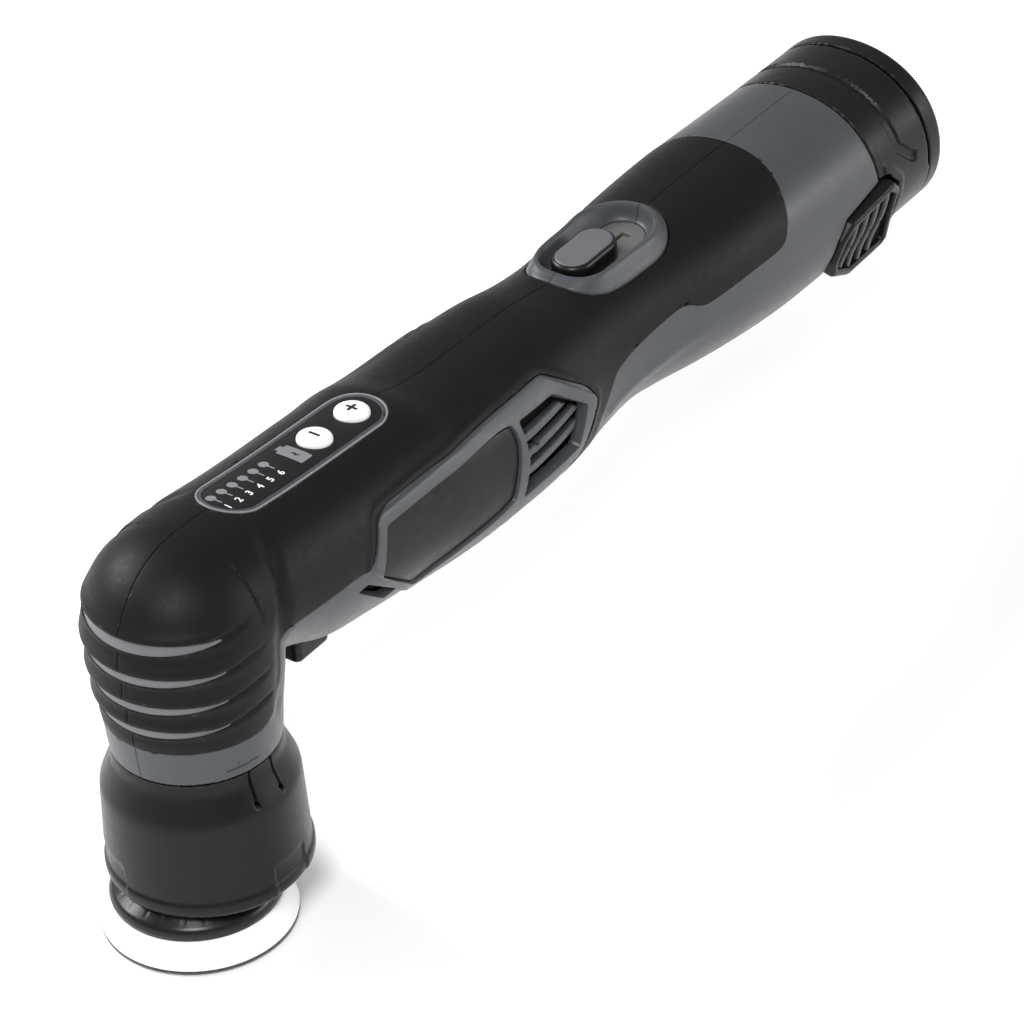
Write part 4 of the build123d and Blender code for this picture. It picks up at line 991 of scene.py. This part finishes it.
def on_panel(A, lift=-0.18):
    B = A.copy()
    B[:, 2] = drop_z(A[:, :2]) + lift + A[:, 2]
    return B


def flat_shape(sd, lo, hi, t=0.05, h=0.25):
    V, F = relief(sd, lo, hi, lambda s, P: np.full(len(P), t), (), -0.1, h=h)
    return on_panel(V), F


def poly_shape(poly, t=0.05, h=0.3):
    p = np.asarray(poly, float)
    return flat_shape(lambda P: poly_sd(P[:, :2], p), p.min(0) - 0.05, p.max(0) + 0.05, t, h)


lamps = []
for k in range(6):
    x, y = 17.8 + 4.1 * k, 2.6
    c = lambda P: np.hypot((P[:, 0] - x), (P[:, 1] - y) / 1.12) - 1.28
    stem = lambda P: box_sd(P[:, 0] - x, P[:, 1] - (y - 2.35), 0.24, 1.2, 0.1)
    neck = lambda P: np.maximum(np.abs(P[:, 0] - x) - 0.24 - 0.5 * np.clip((P[:, 1] - y + 1.5), 0, 1), np.abs(P[:, 1] - y + 1.1) - 0.6)
    lamps.append(flat_shape(lambda P: np.minimum(np.minimum(c(P), stem(P)), neck(P)), (x - 1.6, y - 3.7), (x + 1.6, y + 1.7), 0.06, 0.2))
V, F = merge(lamps)
piece("lamp_windows", V, F, "print_grey", "housing", slot="panel_black")


def text_mesh(body, size, centre, right, up, t=0.05):
    """A printed character, laid on the panel with its foot towards -up."""
    cu = bpy.data.curves.new("t", "FONT")
    cu.body = body
    cu.size = 1.0
    cu.resolution_u = 6
    cu.align_x, cu.align_y = "CENTER", "CENTER"
    cu.offset = 0.018
    ob = bpy.data.objects.new("t", cu)
    bpy.context.scene.collection.objects.link(ob)
    bpy.context.view_layer.update()
    me = bpy.data.meshes.new_from_object(ob.evaluated_get(bpy.context.evaluated_depsgraph_get()))
    me.calc_loop_triangles()
    P = np.array([v.co[:] for v in me.vertices])
    T = np.array([tr.vertices[:] for tr in me.loop_triangles])
    bpy.data.objects.remove(ob)
    bpy.data.curves.remove(cu)
    bpy.data.meshes.remove(me)
    lo, hi = P.min(0), P.max(0)
    P = (P - (lo + hi) / 2) / (hi[1] - lo[1]) * size
    right, up = np.array(right, float), np.array(up, float)
    xy = np.array(centre) + P[:, :1] * right + P[:, 1:2] * up
    nrm = np.cross(xy[T[:, 1]] - xy[T[:, 0]], xy[T[:, 2]] - xy[T[:, 0]])
    T = np.where((nrm > 0)[:, None], T, T[:, ::-1])
    xy, inv = np.unique(np.round(xy, 5), axis=0, return_inverse=True)
    T = inv.reshape(-1)[T]
    T = T[(T[:, 0] != T[:, 1]) & (T[:, 1] != T[:, 2]) & (T[:, 0] != T[:, 2])]
    be = border(T)
    n = len(xy)
    V = np.vstack([np.column_stack([xy, np.full(n, t)]), np.column_stack([xy, np.full(n, -0.1)])])
    side = np.vstack([np.stack([be[:, 1], be[:, 0], be[:, 0] + n], 1), np.stack([be[:, 1], be[:, 0] + n, be[:, 1] + n], 1)])
    return on_panel(V), np.vstack([T, T[:, ::-1] + n, side])


V, F = merge([text_mesh(str(k + 1), 2.15, (17.4 + 4.1 * k, -3.1), (1, 0), (0, 1)) for k in range(6)])
piece("speed_numerals", V, F, "print_white", "housing", slot="panel_black", sharp=30)
bx = 46.6
icon = lambda P: np.minimum(box_sd(P[:, 0] - bx, P[:, 1] + 0.4, 2.25, 4.1, 0.35), box_sd(P[:, 0] - bx, P[:, 1] - 4.2, 1.05, 0.75, 0.2))
bolt = [(bx - 0.5, 1.3), (bx + 0.75, -0.2), (bx + 0.15, -0.35), (bx + 0.55, -1.9), (bx - 0.75, -0.5), (bx - 0.1, -0.25)]
V, F = flat_shape(icon, (bx - 2.6, -4.9), (bx + 2.6, 5.3), 0.06, 0.3)
piece("battery_symbol", V, F, "print_grey", "housing", slot="panel_black")
V, F = poly_shape([(x, y * 1.05 - 0.3) for x, y in bolt], 0.09)
piece("battery_symbol_mark", V, F, "print_black", "housing", slot="panel_black")


def key_cap(x, top, slope):
    prof = [(0, top), (1.6, top - 0.05), (2.9, top - 0.18), (3.7, top - 0.36), (4.2, top - 0.6), (4.5, top - 0.95),
            (4.66, top - 1.4), (4.7, top - 2.0), (4.7, top - 4.4), (0, top - 4.4)]
    V, Q = lathe(prof, 96, (x, 0))
    V[:, 2] += slope * (V[:, 0] - x) * (V[:, 2] > top - 3)
    return quad_tri(V, Q[:, ::-1])


def on_key(x, top, slope):
    def warp(A):
        B = A.copy()
        r = np.hypot(A[:, 0] - x, A[:, 1])
        B[:, 2] = top - np.interp(r, [0, 1.6, 2.9, 3.7], [0, 0.05, 0.18, 0.36]) + slope * (A[:, 0] - x) + A[:, 2]
        return B
    return warp


for (x, top), name in zip(keys, ("plus", "minus")):
    slope = -0.075
    V, F = key_cap(x, top, slope)
    piece(name + "_key_cap", V, F, "white", name + "_key", replaces=[name + "_button"], slot="button_white")
    dash = lambda P: box_sd(P[:, 0] - x, P[:, 1], 0.42, 1.75, 0.25)
    if name == "plus":
        mark = lambda P: np.minimum(dash(P), box_sd(P[:, 0] - x, P[:, 1], 1.75, 0.42, 0.25))
    else:
        mark = dash
    V, F = relief(mark, (x - 2, -2), (x + 2, 2), lambda s, P: np.full(len(P), 0.04), (), -0.1, h=0.3, warp=on_key(x, top, slope))
    piece(name + "_key_mark", V, F, "print_black", name + "_key", slot="button_white")


# ------------------------------------------------------------------ slide switch
def loops_mesh(loops, cap_first=False, cap_last=False):
    L = np.asarray(loops, float)
    m, n = L.shape[:2]
    i, j = np.meshgrid(np.arange(m - 1), np.arange(n), indexing="ij")
    a = i * n + j
    b = i * n + (j + 1) % n
    Q = np.stack([a, b, b + n, a + n], -1).reshape(-1, 4)
    V = L.reshape(-1, 3)
    F = np.vstack([Q[:, [0, 1, 2]], Q[:, [0, 2, 3]]])
    for flag, k, flip in ((cap_first, 0, True), (cap_last, m - 1, False)):
        if flag:
            c = len(V)
            V = np.vstack([V, L[k].mean(0)])
            t = np.stack([np.full(n, c), k * n + np.arange(n), k * n + (np.arange(n) + 1) % n], 1)
            F = np.vstack([F, t[:, ::-1] if flip else t])
    return V, F


def ray_loop(poly, centre, ang):
    # where rays from centre at the given angles leave a closed polygon
    p = np.asarray(poly, float) - centre
    a = np.arctan2(p[:, 1], p[:, 0])
    o = np.argsort(a)
    a, r = a[o], np.hypot(p[o, 0], p[o, 1])
    aa = np.concatenate([a - 2 * math.pi, a, a + 2 * math.pi])
    return np.interp(ang, aa, np.concatenate([r, r, r]))


def stadium(cx, length, width, n=240):
    hx, r = (length - width) / 2, width / 2
    t = np.linspace(0, 2 * math.pi, n, endpoint=False)
    return np.stack([cx + np.sign(np.cos(t)) * hx + r * np.cos(t), r * np.sin(t)], 1)


def stadium_loop(cx, length, width, n=160):
    # evenly spaced points round a stadium
    hx, r = (length - width) / 2, width / 2
    s = np.linspace(0, 4 * hx + 2 * math.pi * r, n, endpoint=False)
    out = []
    for v in s:
        if v < 2 * hx:
            out.append((cx + hx - v, r))
        elif v < 2 * hx + math.pi * r:
            a = math.pi / 2 + (v - 2 * hx) / r
            out.append((cx - hx + r * math.cos(a), r * math.sin(a)))
        elif v < 4 * hx + math.pi * r:
            out.append((cx - hx + (v - 2 * hx - math.pi * r), -r))
        else:
            a = -math.pi / 2 + (v - 4 * hx - math.pi * r) / r
            out.append((cx + hx + r * math.cos(a), r * math.sin(a)))
    return np.array(out)


ang = np.linspace(0, 2 * math.pi, 200, endpoint=False)
C0 = np.array([175.0, 0.0])
dirs = np.stack([np.cos(ang), np.sin(ang)], 1)
r_egg = ray_loop(EGG, C0, ang)
r_in = ray_loop(stadium_loop(174.2, 33.9, 13.0, 400), C0, ang)
outer = C0 + dirs * r_egg[:, None]
z_out = drop_z(outer)
loops = []
for d, w, dz in ((0.05, 0, -2.4), (0.05, 0, 0.15), (0.45, 0.12, 0.25), (1.1, 0.42, 0.1), (1.8, 0.72, 0), (2.3, 0.9, 0), (2.7, 0.98, 0),
                 (3.1, 1.0, 0), (3.5, 0.985, 0)):
    xy = C0 + dirs * (r_egg - d)[:, None]
    z = (1 - w) * z_out + w * 98.55 + dz
    loops.append(np.column_stack([xy, z]))
ridge = r_egg - 3.5
for t, z in ((0.10, 98.1), (0.25, 97.0), (0.42, 95.8), (0.60, 94.9), (0.78, 94.35), (0.92, 94.1), (1.0, 94.02), (1.0, 93.7), (1.0, 91.5)):
    xy = C0 + dirs * (ridge * (1 - t) + r_in * t)[:, None]
    loops.append(np.column_stack([xy, np.full(len(ang), z)]))
V, F = loops_mesh(loops)


def seam_material(name, base):
    # the grey with the fine dark line where the two housing halves meet
    m = M[base].copy()
    m.name = name
    nt = m.node_tree
    bs = next(n for n in nt.nodes if n.type == "BSDF_PRINCIPLED")
    src = bs.inputs["Base Color"].links[0].from_socket
    tc = nt.nodes.new("ShaderNodeTexCoord")
    sp = nt.nodes.new("ShaderNodeSeparateXYZ")
    ab = nt.nodes.new("ShaderNodeMath")
    ab.operation = "ABSOLUTE"
    lt = nt.nodes.new("ShaderNodeMapRange")
    lt.inputs[1].default_value, lt.inputs[2].default_value = 0.00010, 0.00020
    lt.inputs[3].default_value, lt.inputs[4].default_value = 1.0, 0.0
    mx = nt.nodes.new("ShaderNodeMix")
    mx.data_type = "RGBA"
    mx.inputs[7].default_value = (0.004, 0.004, 0.004, 1)
    nt.links.new(tc.outputs["Object"], sp.inputs[0])
    nt.links.new(sp.outputs[1], ab.inputs[0])
    nt.links.new(ab.outputs[0], lt.inputs[0])
    nt.links.new(lt.outputs[0], mx.inputs[0])
    nt.links.new(src, mx.inputs[6])
    nt.links.new(mx.outputs[2], bs.inputs["Base Color"])
    return m


M["grey_seam"] = seam_material("moulded_grey_seam", "grey")
piece("switch_surround", V, F, "grey_seam", "housing", replaces=["switch_bezel"], slot="housing_grey", sharp=50)
V, F = relief(lambda P: np.maximum(sd_slot(P, 174.2, 33.6, 12.7), -np.minimum(box_sd(P[:, 0] - 176.5, P[:, 1], 9.6, 0.55, 0.1),
                                                                               box_sd(P[:, 0] - 185.6, P[:, 1] + 0.9, 0.7, 1.4, 0.1))),
              (157, -6.6), (191.5, 6.6), lambda s, P: 93.85 - 0.12 * np.clip(1 + s / 0.15, 0, 1), (0.15,), 92.5, h=0.6)
piece("switch_track_plate", V, F, "track", "housing", replaces=["switch_track"], slot="black_plastic")
# painted shade: a dark floor under the track's slit stands in for the shade in it
V, F = relief(lambda P: sd_slot(P, 175.5, 25.0, 5.0), (162, -2.7), (189, 2.7), lambda s, P: np.full(len(P), 92.55), (), 92.0, h=1.5)
piece("switch_slot_floor", V, F, "dark", "housing", slot="black_plastic")
KX = 168.5
prof = [(0.35, 94.15), (0.0, 94.6), (0.0, 97.2), (0.08, 98.3), (0.35, 98.9), (0.75, 99.2), (1.15, 99.28)]
V, F = loops_mesh([np.column_stack([stadium_loop(KX, 21 - 2 * d, 11.8 - 2 * d), np.full(160, z)]) for d, z in prof], True, True)
F = F[:, ::-1]
stem = quad_tri(*lathe([(0, 94.3), (1.7, 94.3), (1.7, 88.95), (0, 88.95)], 24, (KX, 0)))
stem = (stem[0], stem[1][:, ::-1])
V, F = merge([(V, F), stem])
piece("switch_knob_body", V, F, "black_satin", "switch_slider", replaces=["switch_knob"], slot="black_plastic", sharp=40)
V, F = relief(lambda P: sd_slot(P, KX, 18.9, 9.7), (KX - 9.6, -5), (KX + 9.6, 5),
              lambda s, P: 99.5 - 0.22 * np.clip(1 + s / 0.5, 0, 1) ** 2 - 0.10 * smooth01(-s / 4), (0.5, 0.35, 0.2, 0.08), 99.0, h=0.5)
piece("switch_knob_cap", V, F, "knob_top", "switch_slider", slot="black_plastic")


# ------------------------------------------------------------------ shroud, hub and pad
def polar_base(profile, a0, a1, n, centre=(0, 0), bump=None):
    pr = np.asarray(profile, float)
    V, Q = lathe(pr, n, centre, bump=bump)
    return V, Q


def window(x, a, b, w):
    return smooth01((x - a) / w) * smooth01((b - x) / w)


def shroud_bump(a, z):
    az = np.degrees(a)
    az = np.where(az > 180, az - 360, az)
    out = -0.40 * window(az, -101.5, -73.5, 1.3) * window(z, 12, 24.2, 0.9)
    out -= 0.40 * window(az, 118, 167.5 - (z - 20) * 0.5, 1.3) * window(z, 12, 24.6, 0.9)
    out -= 0.28 * window(az, -135.2 + (z - 20) * 0.35, -133.2 + (z - 20) * 0.35, 0.9) * window(z, 17.5, 22.5, 1.2)
    out -= 0.40 * window(az, 18, 62, 1.3) * window(z, 12, 24.2, 0.9)
    return out * (z < 30)


skirt = [(20.9, 52.35), (21.35, 52.2), (21.55, 51.7), (21.6, 50.6), (21.75, 49.2), (22.05, 48.3), (22.6, 47.0), (23.3, 45.4), (24.0, 43.8),
         (24.5, 42.6), (24.85, 41.7), (25.05, 40.9), (25.18, 39.8), (25.28, 38.0), (25.42, 34.0), (25.6, 29.5), (25.75, 25.5), (25.8, 24.6), (25.84, 23.8),
         (25.88, 22.5), (25.93, 21.0), (25.97, 19.8), (25.98, 19.3), (26.05, 18.95), (26.35, 18.6), (26.58, 18.1), (26.62, 17.2), (26.6, 16.2),
         (26.45, 15.5), (26.1, 15.0), (25.6, 14.82)]
fine = []
for a, b in zip(skirt[:-1], skirt[1:]):
    m = max(1, int(abs(a[1] - b[1]) / 0.8))
    fine += [(a[0] + (b[0] - a[0]) * t, a[1] + (b[1] - a[1]) * t) for t in np.linspace(0, 1, m, endpoint=False)]
fine.append(skirt[-1])
SV, SQ = lathe(fine, 360, bump=shroud_bump)
SF = np.vstack([SQ[:, [0, 2, 1]], SQ[:, [0, 3, 2]]])


def slit_sd(P, az, half=0.42):
    a = math.radians(az)
    t = -P[:, 0] * math.sin(a) + P[:, 1] * math.cos(a)
    rad = P[:, 0] * math.cos(a) + P[:, 1] * math.sin(a)
    return np.where(rad > 5, np.maximum(np.abs(t) - half, 43.2 - P[:, 2]), 30)


V, F = shell_piece((SV, SF, None), [lambda P: -slit_sd(P, -105.0), lambda P: -slit_sd(P, -84.0)], r=0.16, thick=1.5, levels=(1.0, 0.45))
ring_in = quad_tri(*lathe([(20.6, 48.9), (20.6, 52.2), (14.2, 52.2), (14.2, 48.9)], 160, close=True))
# painted shade: a dark lining inside the shroud's neck and shoulder stands in for the shade in the bell
dark_in = quad_tri(*lathe([(20.3, 52.0), (20.0, 48.7), (22.9, 42.0), (22.6, 41.5), (19.3, 48.0), (19.6, 52.0)], 160, close=True))
V, F = merge([(V, F), ring_in])
piece("shroud_skirt", V, F, "black", "housing", replaces=["shroud"], slot="black_plastic", sharp=38)
piece("shroud_shade_liner", dark_in[0], dark_in[1], "dark", "housing", slot="black_plastic")

PX = -6.0
hub = rounded([(0, 8.02), (21.9, 8.02), (22.2, 9.5), (21.6, 11.2), (17.0, 14.4), (15.5, 17.0), (8.0, 19.0), (8.0, 27.5), (4.05, 27.5)],
              [0, 0.2, 0.6, 0.8, 1.2, 1.0, 1.0, 0.6, 0], 4, closed=False)


def hub_ribs(a, z):
    return -0.35 * (np.cos(a * 24) > 0.86) * window(z, 11.6, 16.6, 0.6)


V, Q = lathe(hub, 240, (PX, 0), bump=hub_ribs)
V, F = quad_tri(V, Q)
piece("pad_hub_body", V, F, "black_satin", "pad", replaces=["pad_hub"], slot="black_plastic", sharp=40)
pad = rounded([(0, 8.0), (21.7, 8.0), (22.3, 7.5), (24.75, 1.9), (25.0, 1.35), (24.9, 0.92), (0, 0.92)], [0, 0.25, 0.3, 0.3, 0.25, 0.1, 0], 4, closed=False)
V, Q = lathe(pad, 240, (PX, 0))
piece("backing_plate_foam", *quad_tri(V, Q[:, ::-1]), "foam_white", "pad", replaces=["backing_pad"], slot="pad_white", sharp=40)
hk = [(0, 0.9), (24.7, 0.9), (25.0, 0.75), (24.99, 0.4), (24.9, 0.05), (24.6, 0.0), (0, 0.0)]
V, Q = lathe(hk, 240, (PX, 0))
piece("hook_layer", *quad_tri(V, Q[:, ::-1]), "hook", "pad", replaces=["hook_face"], slot="hook_black", sharp=50)


# ------------------------------------------------------------------ battery pack
def lathe_x(profile, seg=160, axis_z=71.2, close=False):
    # profile of (x, radius) turned about the line y = 0, z = axis_z
    V, Q = lathe([(r, x) for x, r in profile], seg, close=close)
    return np.stack([V[:, 2], V[:, 1], axis_z + V[:, 0]], 1), Q


def f_pack_side(P):
    x, y, z = P.T
    half = np.interp(x, [265, 289.4, 296], [27.0, 26.9, 26.85])
    top = np.interp(x, [265, 276, 289.4], [95.2, 95.0, 94.8])
    low = np.interp(x, [265, 276, 289.4], [45.3, 45.1, 45.0])
    n = np.interp(x, [265, 289.4], [2.15, 2.1])
    mid, hh = (top + low) / 2, (top - low) / 2
    g = np.maximum(((np.abs(y) / half) ** n + (np.abs(z - mid) / hh) ** n) ** (1 / n), 1e-6)
    d = np.hypot(y, z - mid) * (1 - 1 / g)
    return np.where(g < 0.2, -18, d)


BAND = np.array([(276.0, 150.0), (276.0, 80.0), (276.3, 78.3), (281.2, 73.4), (283.2, 72.6)])
SEAT = round_poly([(240, -6.0), (269.2, -6.0), (273.6, -1.2), (272.6, 9.4), (272.8, 17.2), (270.2, 20.3), (240, 20.3)], 0.6)


def f_pack(P):
    side = f_pack_side(P)
    near = np.abs(side) < 3
    if near.any():
        Q = P[near]
        d, t = seg_dist(Q[:, [0, 2]], BAND)
        dent = 0.75 * smooth01((1.75 - d) / 0.55) * smooth01((1.0 - t) / 0.05)
        line = np.abs(Q[:, 0] - 289.0)
        dent = np.maximum(dent, 0.9 * smooth01((0.62 - line) / 0.25) * smooth01((Q[:, 2] - 66.0) / 1.5))
        # the body swells a little round the catch
        for hand in (-1, 1):
            x, s, dd = latch_coords(Q, hand)
            e = poly_sd(np.stack([x, s], 1), SEAT)
            dent = dent - 0.55 * smooth01((3.2 - e) / 1.4) * (hand * Q[:, 1] > 0) * (Q[:, 0] > 268)
        side[near] = side[near] + dent
    f = round_max(round_max(side, 265.35 - P[:, 0], 0.6), P[:, 0] - 289.45, 0.25)
    m = (P[:, 0] < 276) & (np.abs(P[:, 1]) > 12)
    if m.any():
        Q = P[m]
        for hand in (-1, 1):
            x, s, dd = latch_coords(Q, hand)
            cut = np.maximum(poly_sd(np.stack([x, s], 1), SEAT), dd - 6.2)
            cut = np.where(hand * Q[:, 1] > 0, cut, 30)
            f[m] = np.maximum(f[m], -cut)
    return f


def f_cap(P):
    return round_max(round_max(f_pack_side(P), P[:, 0] - 296.0, 2.2), 289.62 - P[:, 0], 0.3)


V, Q = surface_net(f_pack, (262, -31, 42), (292, 31, 98), 0.55 * q)
V = project(f_pack, V, 2)
F = quads_to_tris(V, Q)
tube = lathe_x(rounded([(262.0, 20.4), (265.9, 20.55), (214.0, 20.55), (212.0, 19.6), (212.0, 0)], [0, 0, 1.2, 0.8, 0], 5, closed=False), 180)
tube = quad_tri(*tube)
flutes = []
V, F = merge([(V, F), tube])
piece("battery_body", V, F, "black", "battery", replaces=["battery_shell"], slot="black_plastic", sharp=36)
V, Q = surface_net(f_cap, (287, -31, 42), (299, 31, 98), 0.55 * q)
V = project(f_cap, V, 2)
piece("battery_end_cap", V, quads_to_tris(V, Q), "black", "battery", replaces=["battery_cap"], slot="black_plastic", sharp=40)
# contact slots in the front of the stem
# painted shade: the slots are flat dark patches on the stem's front face, standing in for the shade in the holes
parts = []
for y in (-8, 0, 8):
    V, F = relief(lambda P: box_sd(P[:, 0] - y, P[:, 1] - 71.2, 0.95, 3.7, 0.3), (y - 1.2, 67), (y + 1.2, 75.4),
                  lambda s, P: np.full(len(P), 0.06), (), -0.3, h=0.5, warp=lambda A: np.stack([212.0 - A[:, 2], A[:, 0], A[:, 1]], 1))
    parts.append((V, F[:, ::-1]))
V, F = merge(parts)
piece("battery_contact_slot_shade", V, F, "dark", "battery", slot="black_plastic")


def latch_warp(side):
    c, s = math.cos(LATCH_TILT), math.sin(LATCH_TILT)

    def warp(A):
        u, v, w = A.T
        return np.stack([u, side * LATCH_Y - side * s * v + side * c * w, LATCH_Z - c * v - s * w], 1)
    return warp


LATCH_S = round_poly(LATCH, 0.9)


def latch_height(s, P):
    d = -s
    w = np.interp(d, [0, 0.12, 0.4, 0.8, 1.2, 1.9, 2.15, 2.45, 2.6, 99], [-1.15, -0.75, -0.35, -0.08, 0.0, 0.0, -0.12, -0.5, -1.55, -1.6])
    return w


RIB = np.array([(0.0, 16.0), (0.1, 12.6), (0.9, 10.2), (2.6, 7.8), (3.9, 5.4), (4.4, 2.6), (4.5, -1.0)])
for side, hand in ((-1, "right"), (1, "left")):
    body = "latch_r" if side < 0 else "latch_l"
    wp = latch_warp(side)
    lo, hi = LATCH.min(0) - 0.2, LATCH.max(0) + 0.2
    V, F = relief(lambda P: poly_sd(P[:, :2], LATCH_S), lo, hi, latch_height, (0.12, 0.4, 0.8, 1.2, 1.9, 2.15, 2.45, 2.6), -4.6, h=0.7, warp=wp)
    F = F if side < 0 else F[:, ::-1]
    nose = relief(lambda P: box_sd(P[:, 0] - 268.5, P[:, 1] - 7.0, 1.5, 3.6, 0.3), (266.8, 3.2), (270.2, 10.8),
                  lambda s, P: np.full(len(P), -4.5), (), -7.2, h=0.8, warp=wp)
    nose = (nose[0], nose[1] if side < 0 else nose[1][:, ::-1])
    V, F = merge([(V, F), nose])
    piece("catch_" + hand, V, F, "black", body, replaces=["latch_" + hand], slot="black_plastic", sharp=30)
    # painted shade: a dark plate on the floor of the catch's dish stands in for the shade in the recess
    V, F = relief(lambda P: poly_sd(P[:, :2], LATCH_S) + 2.5, lo, hi, lambda s, P: np.full(len(P), -1.5), (), -1.7, h=0.8, warp=wp)
    F = F if side < 0 else F[:, ::-1]
    piece("catch_recess_shade_" + hand, V, F, "dark", body, slot="black_plastic")
    ribs = []
    for k in range(4):
        line = RIB + [248.3 + 4.75 * k, 0]
        sd = lambda P: np.maximum(seg_dist(P[:, :2], line)[0] - 0.62, poly_sd(P[:, :2], LATCH_S) + 2.75)
        V, F = relief(sd, (line[:, 0].min() - 1, -2), (line[:, 0].max() + 1, 17.5), lambda s, P: -0.42 - 0.38 * np.clip(1 + s / 0.4, 0, 1) ** 2,
                      (0.4, 0.25, 0.1), -1.6, h=0.45, warp=wp)
        ribs.append((V, F if side < 0 else F[:, ::-1]))
    V, F = merge(ribs)
    piece("catch_ribs_" + hand, V, F, "rib_grey", body, slot="black_plastic", sharp=50)

# ------------------------------------------------------------------ battery bay
# painted shade: the bay's sleeve and end wall use the dark material, standing in for the shade inside the bay
V, Q = lathe_x([(211.2, 21.6), (264.6, 21.6), (264.9, 21.35), (264.6, 20.98), (263.6, 20.9), (211.2, 20.9)], 180, close=True)
V, F = quad_tri(V, Q)
piece("bay_sleeve", V, F, "dark", "housing", slot="housing_grey", sharp=40)
V, Q = lathe_x([(209.6, 0), (209.6, 21.6), (211.3, 21.6), (211.3, 0)], 120)
grow = []
piece("bay_wall", *quad_tri(V, Q), "dark", "housing", slot="housing_grey", sharp=40)

# ------------------------------------------------------------------ small marks
# the fine index mark on the lower collar
mark_az = np.radians([-121.0, -97.0])


def collar_mark(a0, a1, z0, z1, t=0.10):
    n = 24
    az = np.radians(np.linspace(a0, a1, n))
    zz = np.linspace(z0, z1, n)
    V = []
    for a, z in zip(az, zz):
        for dr, dz in ((-0.4, -0.13), (t, -0.13), (t, 0.13), (-0.4, 0.13)):
            r = np.interp(z, [HEAD_Z0, 62.8], [RING_R, 22.5]) + dr
            V.append((r * math.cos(a), r * math.sin(a), z + dz))
    V = np.array(V).reshape(n, 4, 3)
    return loops_mesh(V, True, True)


V, F = merge([collar_mark(-121, -97, 55.3, 55.6), collar_mark(-112.5, -111.6, 55.9, 56.9)])
piece("collar_mark", V, F, "print_black", "housing", slot="black_plastic")


# ------------------------------------------------------------------ carried-over CAD nodes
def paint(mat, *nodes):
    for n in nodes:
        o = NODES[n]
        if o.hide_render:
            continue
        o.data.materials.clear()
        o.data.materials.append(M[mat])
        o.data.shade_smooth()
        o.data.set_sharp_from_angle(angle=math.radians(35))


paint("black", "lock_button", "slide_switch_body", "motor_end_bell", "cooling_fan", "terminal_block")
paint("steel_x", "motor_shaft", "motor_can", "pinion_bearing", "motor_front_bearing", "motor_rear_bearing", "lock_collar", "pinion_gear")
paint("steel_z", "spindle", "pad_spindle", "spindle_upper_bearing", "spindle_lower_bearing", "pad_bearing", "bevel_gear")
paint("steel", "gear_case_screws", "lock_spring", "button_switches")
paint("dark_steel", "housing_screws", "eccentric_carrier")
paint("cast", "gear_case", "gear_case_cover")
paint("lamination", "rotor_core")
paint("copper", "rotor_windings", "commutator")
paint("magnet", "motor_magnets", "motor_brushes")
paint("brass", "terminal_blades")
paint("board", "control_board", "battery_board")
paint("wrap", "battery_cells")
paint("white", "indicator_lamps")


# ------------------------------------------------------------------ floor, light, camera
def stage():
    me = bpy.data.meshes.new("floor")
    R, n = 6.0, 24
    zf = -0.0006
    V, F = [], []
    for i in range(n + 1):
        for j in range(n + 1):
            V.append((-R + 2 * R * i / n, -R + 2 * R * j / n, zf))
    for i in range(n):
        for j in range(n):
            a = i * (n + 1) + j
            F.append((a, a + n + 1, a + n + 2, a + 1))
    me.from_pydata(V, [], F)
    g = Graph("pale_floor")
    me.materials.append(g.set(Base_Color=g.mix(g.noise(0.004, 3), (0.90, 0.90, 0.90), (0.94, 0.94, 0.94)), Roughness=0.75, Specular_IOR_Level=0.2,
                          Emission_Color=(1, 1, 1, 1), Emission_Strength=0.10))
    ob = bpy.data.objects.new("floor", me)
    bpy.context.scene.collection.objects.link(ob)


def area_light(name, at, look, size, power, size_y=None, color=(1, 1, 1)):
    d = bpy.data.lights.new(name, "AREA")
    d.shape = "RECTANGLE"
    d.size = size
    d.size_y = size_y or size
    d.energy = power
    d.color = color
    o = bpy.data.objects.new(name, d)
    o.location = at
    o.rotation_euler = (Vector(look) - Vector(at)).to_track_quat("-Z", "Y").to_euler()
    bpy.context.scene.collection.objects.link(o)
    return o


def camera():
    cd = bpy.data.cameras.new("camera")
    cd.sensor_width = 36.0
    cd.sensor_fit = "AUTO"
    cd.lens = 6423.54 * 36.0 / 1024.0
    cd.clip_start, cd.clip_end = 0.05, 30
    ob = bpy.data.objects.new("camera", cd)
    bpy.context.scene.collection.objects.link(ob)
    az, el, roll = math.radians(-51.22), math.radians(35.71), math.radians(-4.5)
    back = np.array([math.sin(az) * math.cos(el), -math.cos(az) * math.cos(el), math.sin(el)])
    right = np.array([math.cos(az), math.sin(az), 0.0])
    up = np.cross(back, right)
    R = np.stack([right * math.cos(roll) + up * math.sin(roll), -right * math.sin(roll) + up * math.cos(roll), back])
    t = np.array([-74.37, -96.71, -1610.98])
    pos = -R.T @ t * MM
    m = np.eye(4)
    m[:3, :3] = R.T
    m[:3, 3] = pos
    from mathutils import Matrix
    ob.matrix_world = Matrix(m.tolist())
    bpy.context.scene.camera = ob


stage()
camera()
world = bpy.data.worlds.new("studio")
bpy.context.scene.world = world
world.use_nodes = True
bg = world.node_tree.nodes["Background"]
bg.inputs[0].default_value = (1, 1, 1, 1)
bg.inputs[1].default_value = 0.46
area_light("key", (-0.9, -0.5, 1.3), (0.08, 0, 0.08), 0.55, 18, 0.55)
area_light("rim", (0.9, -1.1, 0.35), (0.12, 0, 0.07), 0.9, 6.5, 0.4)
area_light("back", (-0.2, 1.1, 0.85), (0.12, 0, 0.07), 0.8, 19, 0.5)
bpy.context.scene.view_settings.view_transform = "Standard"
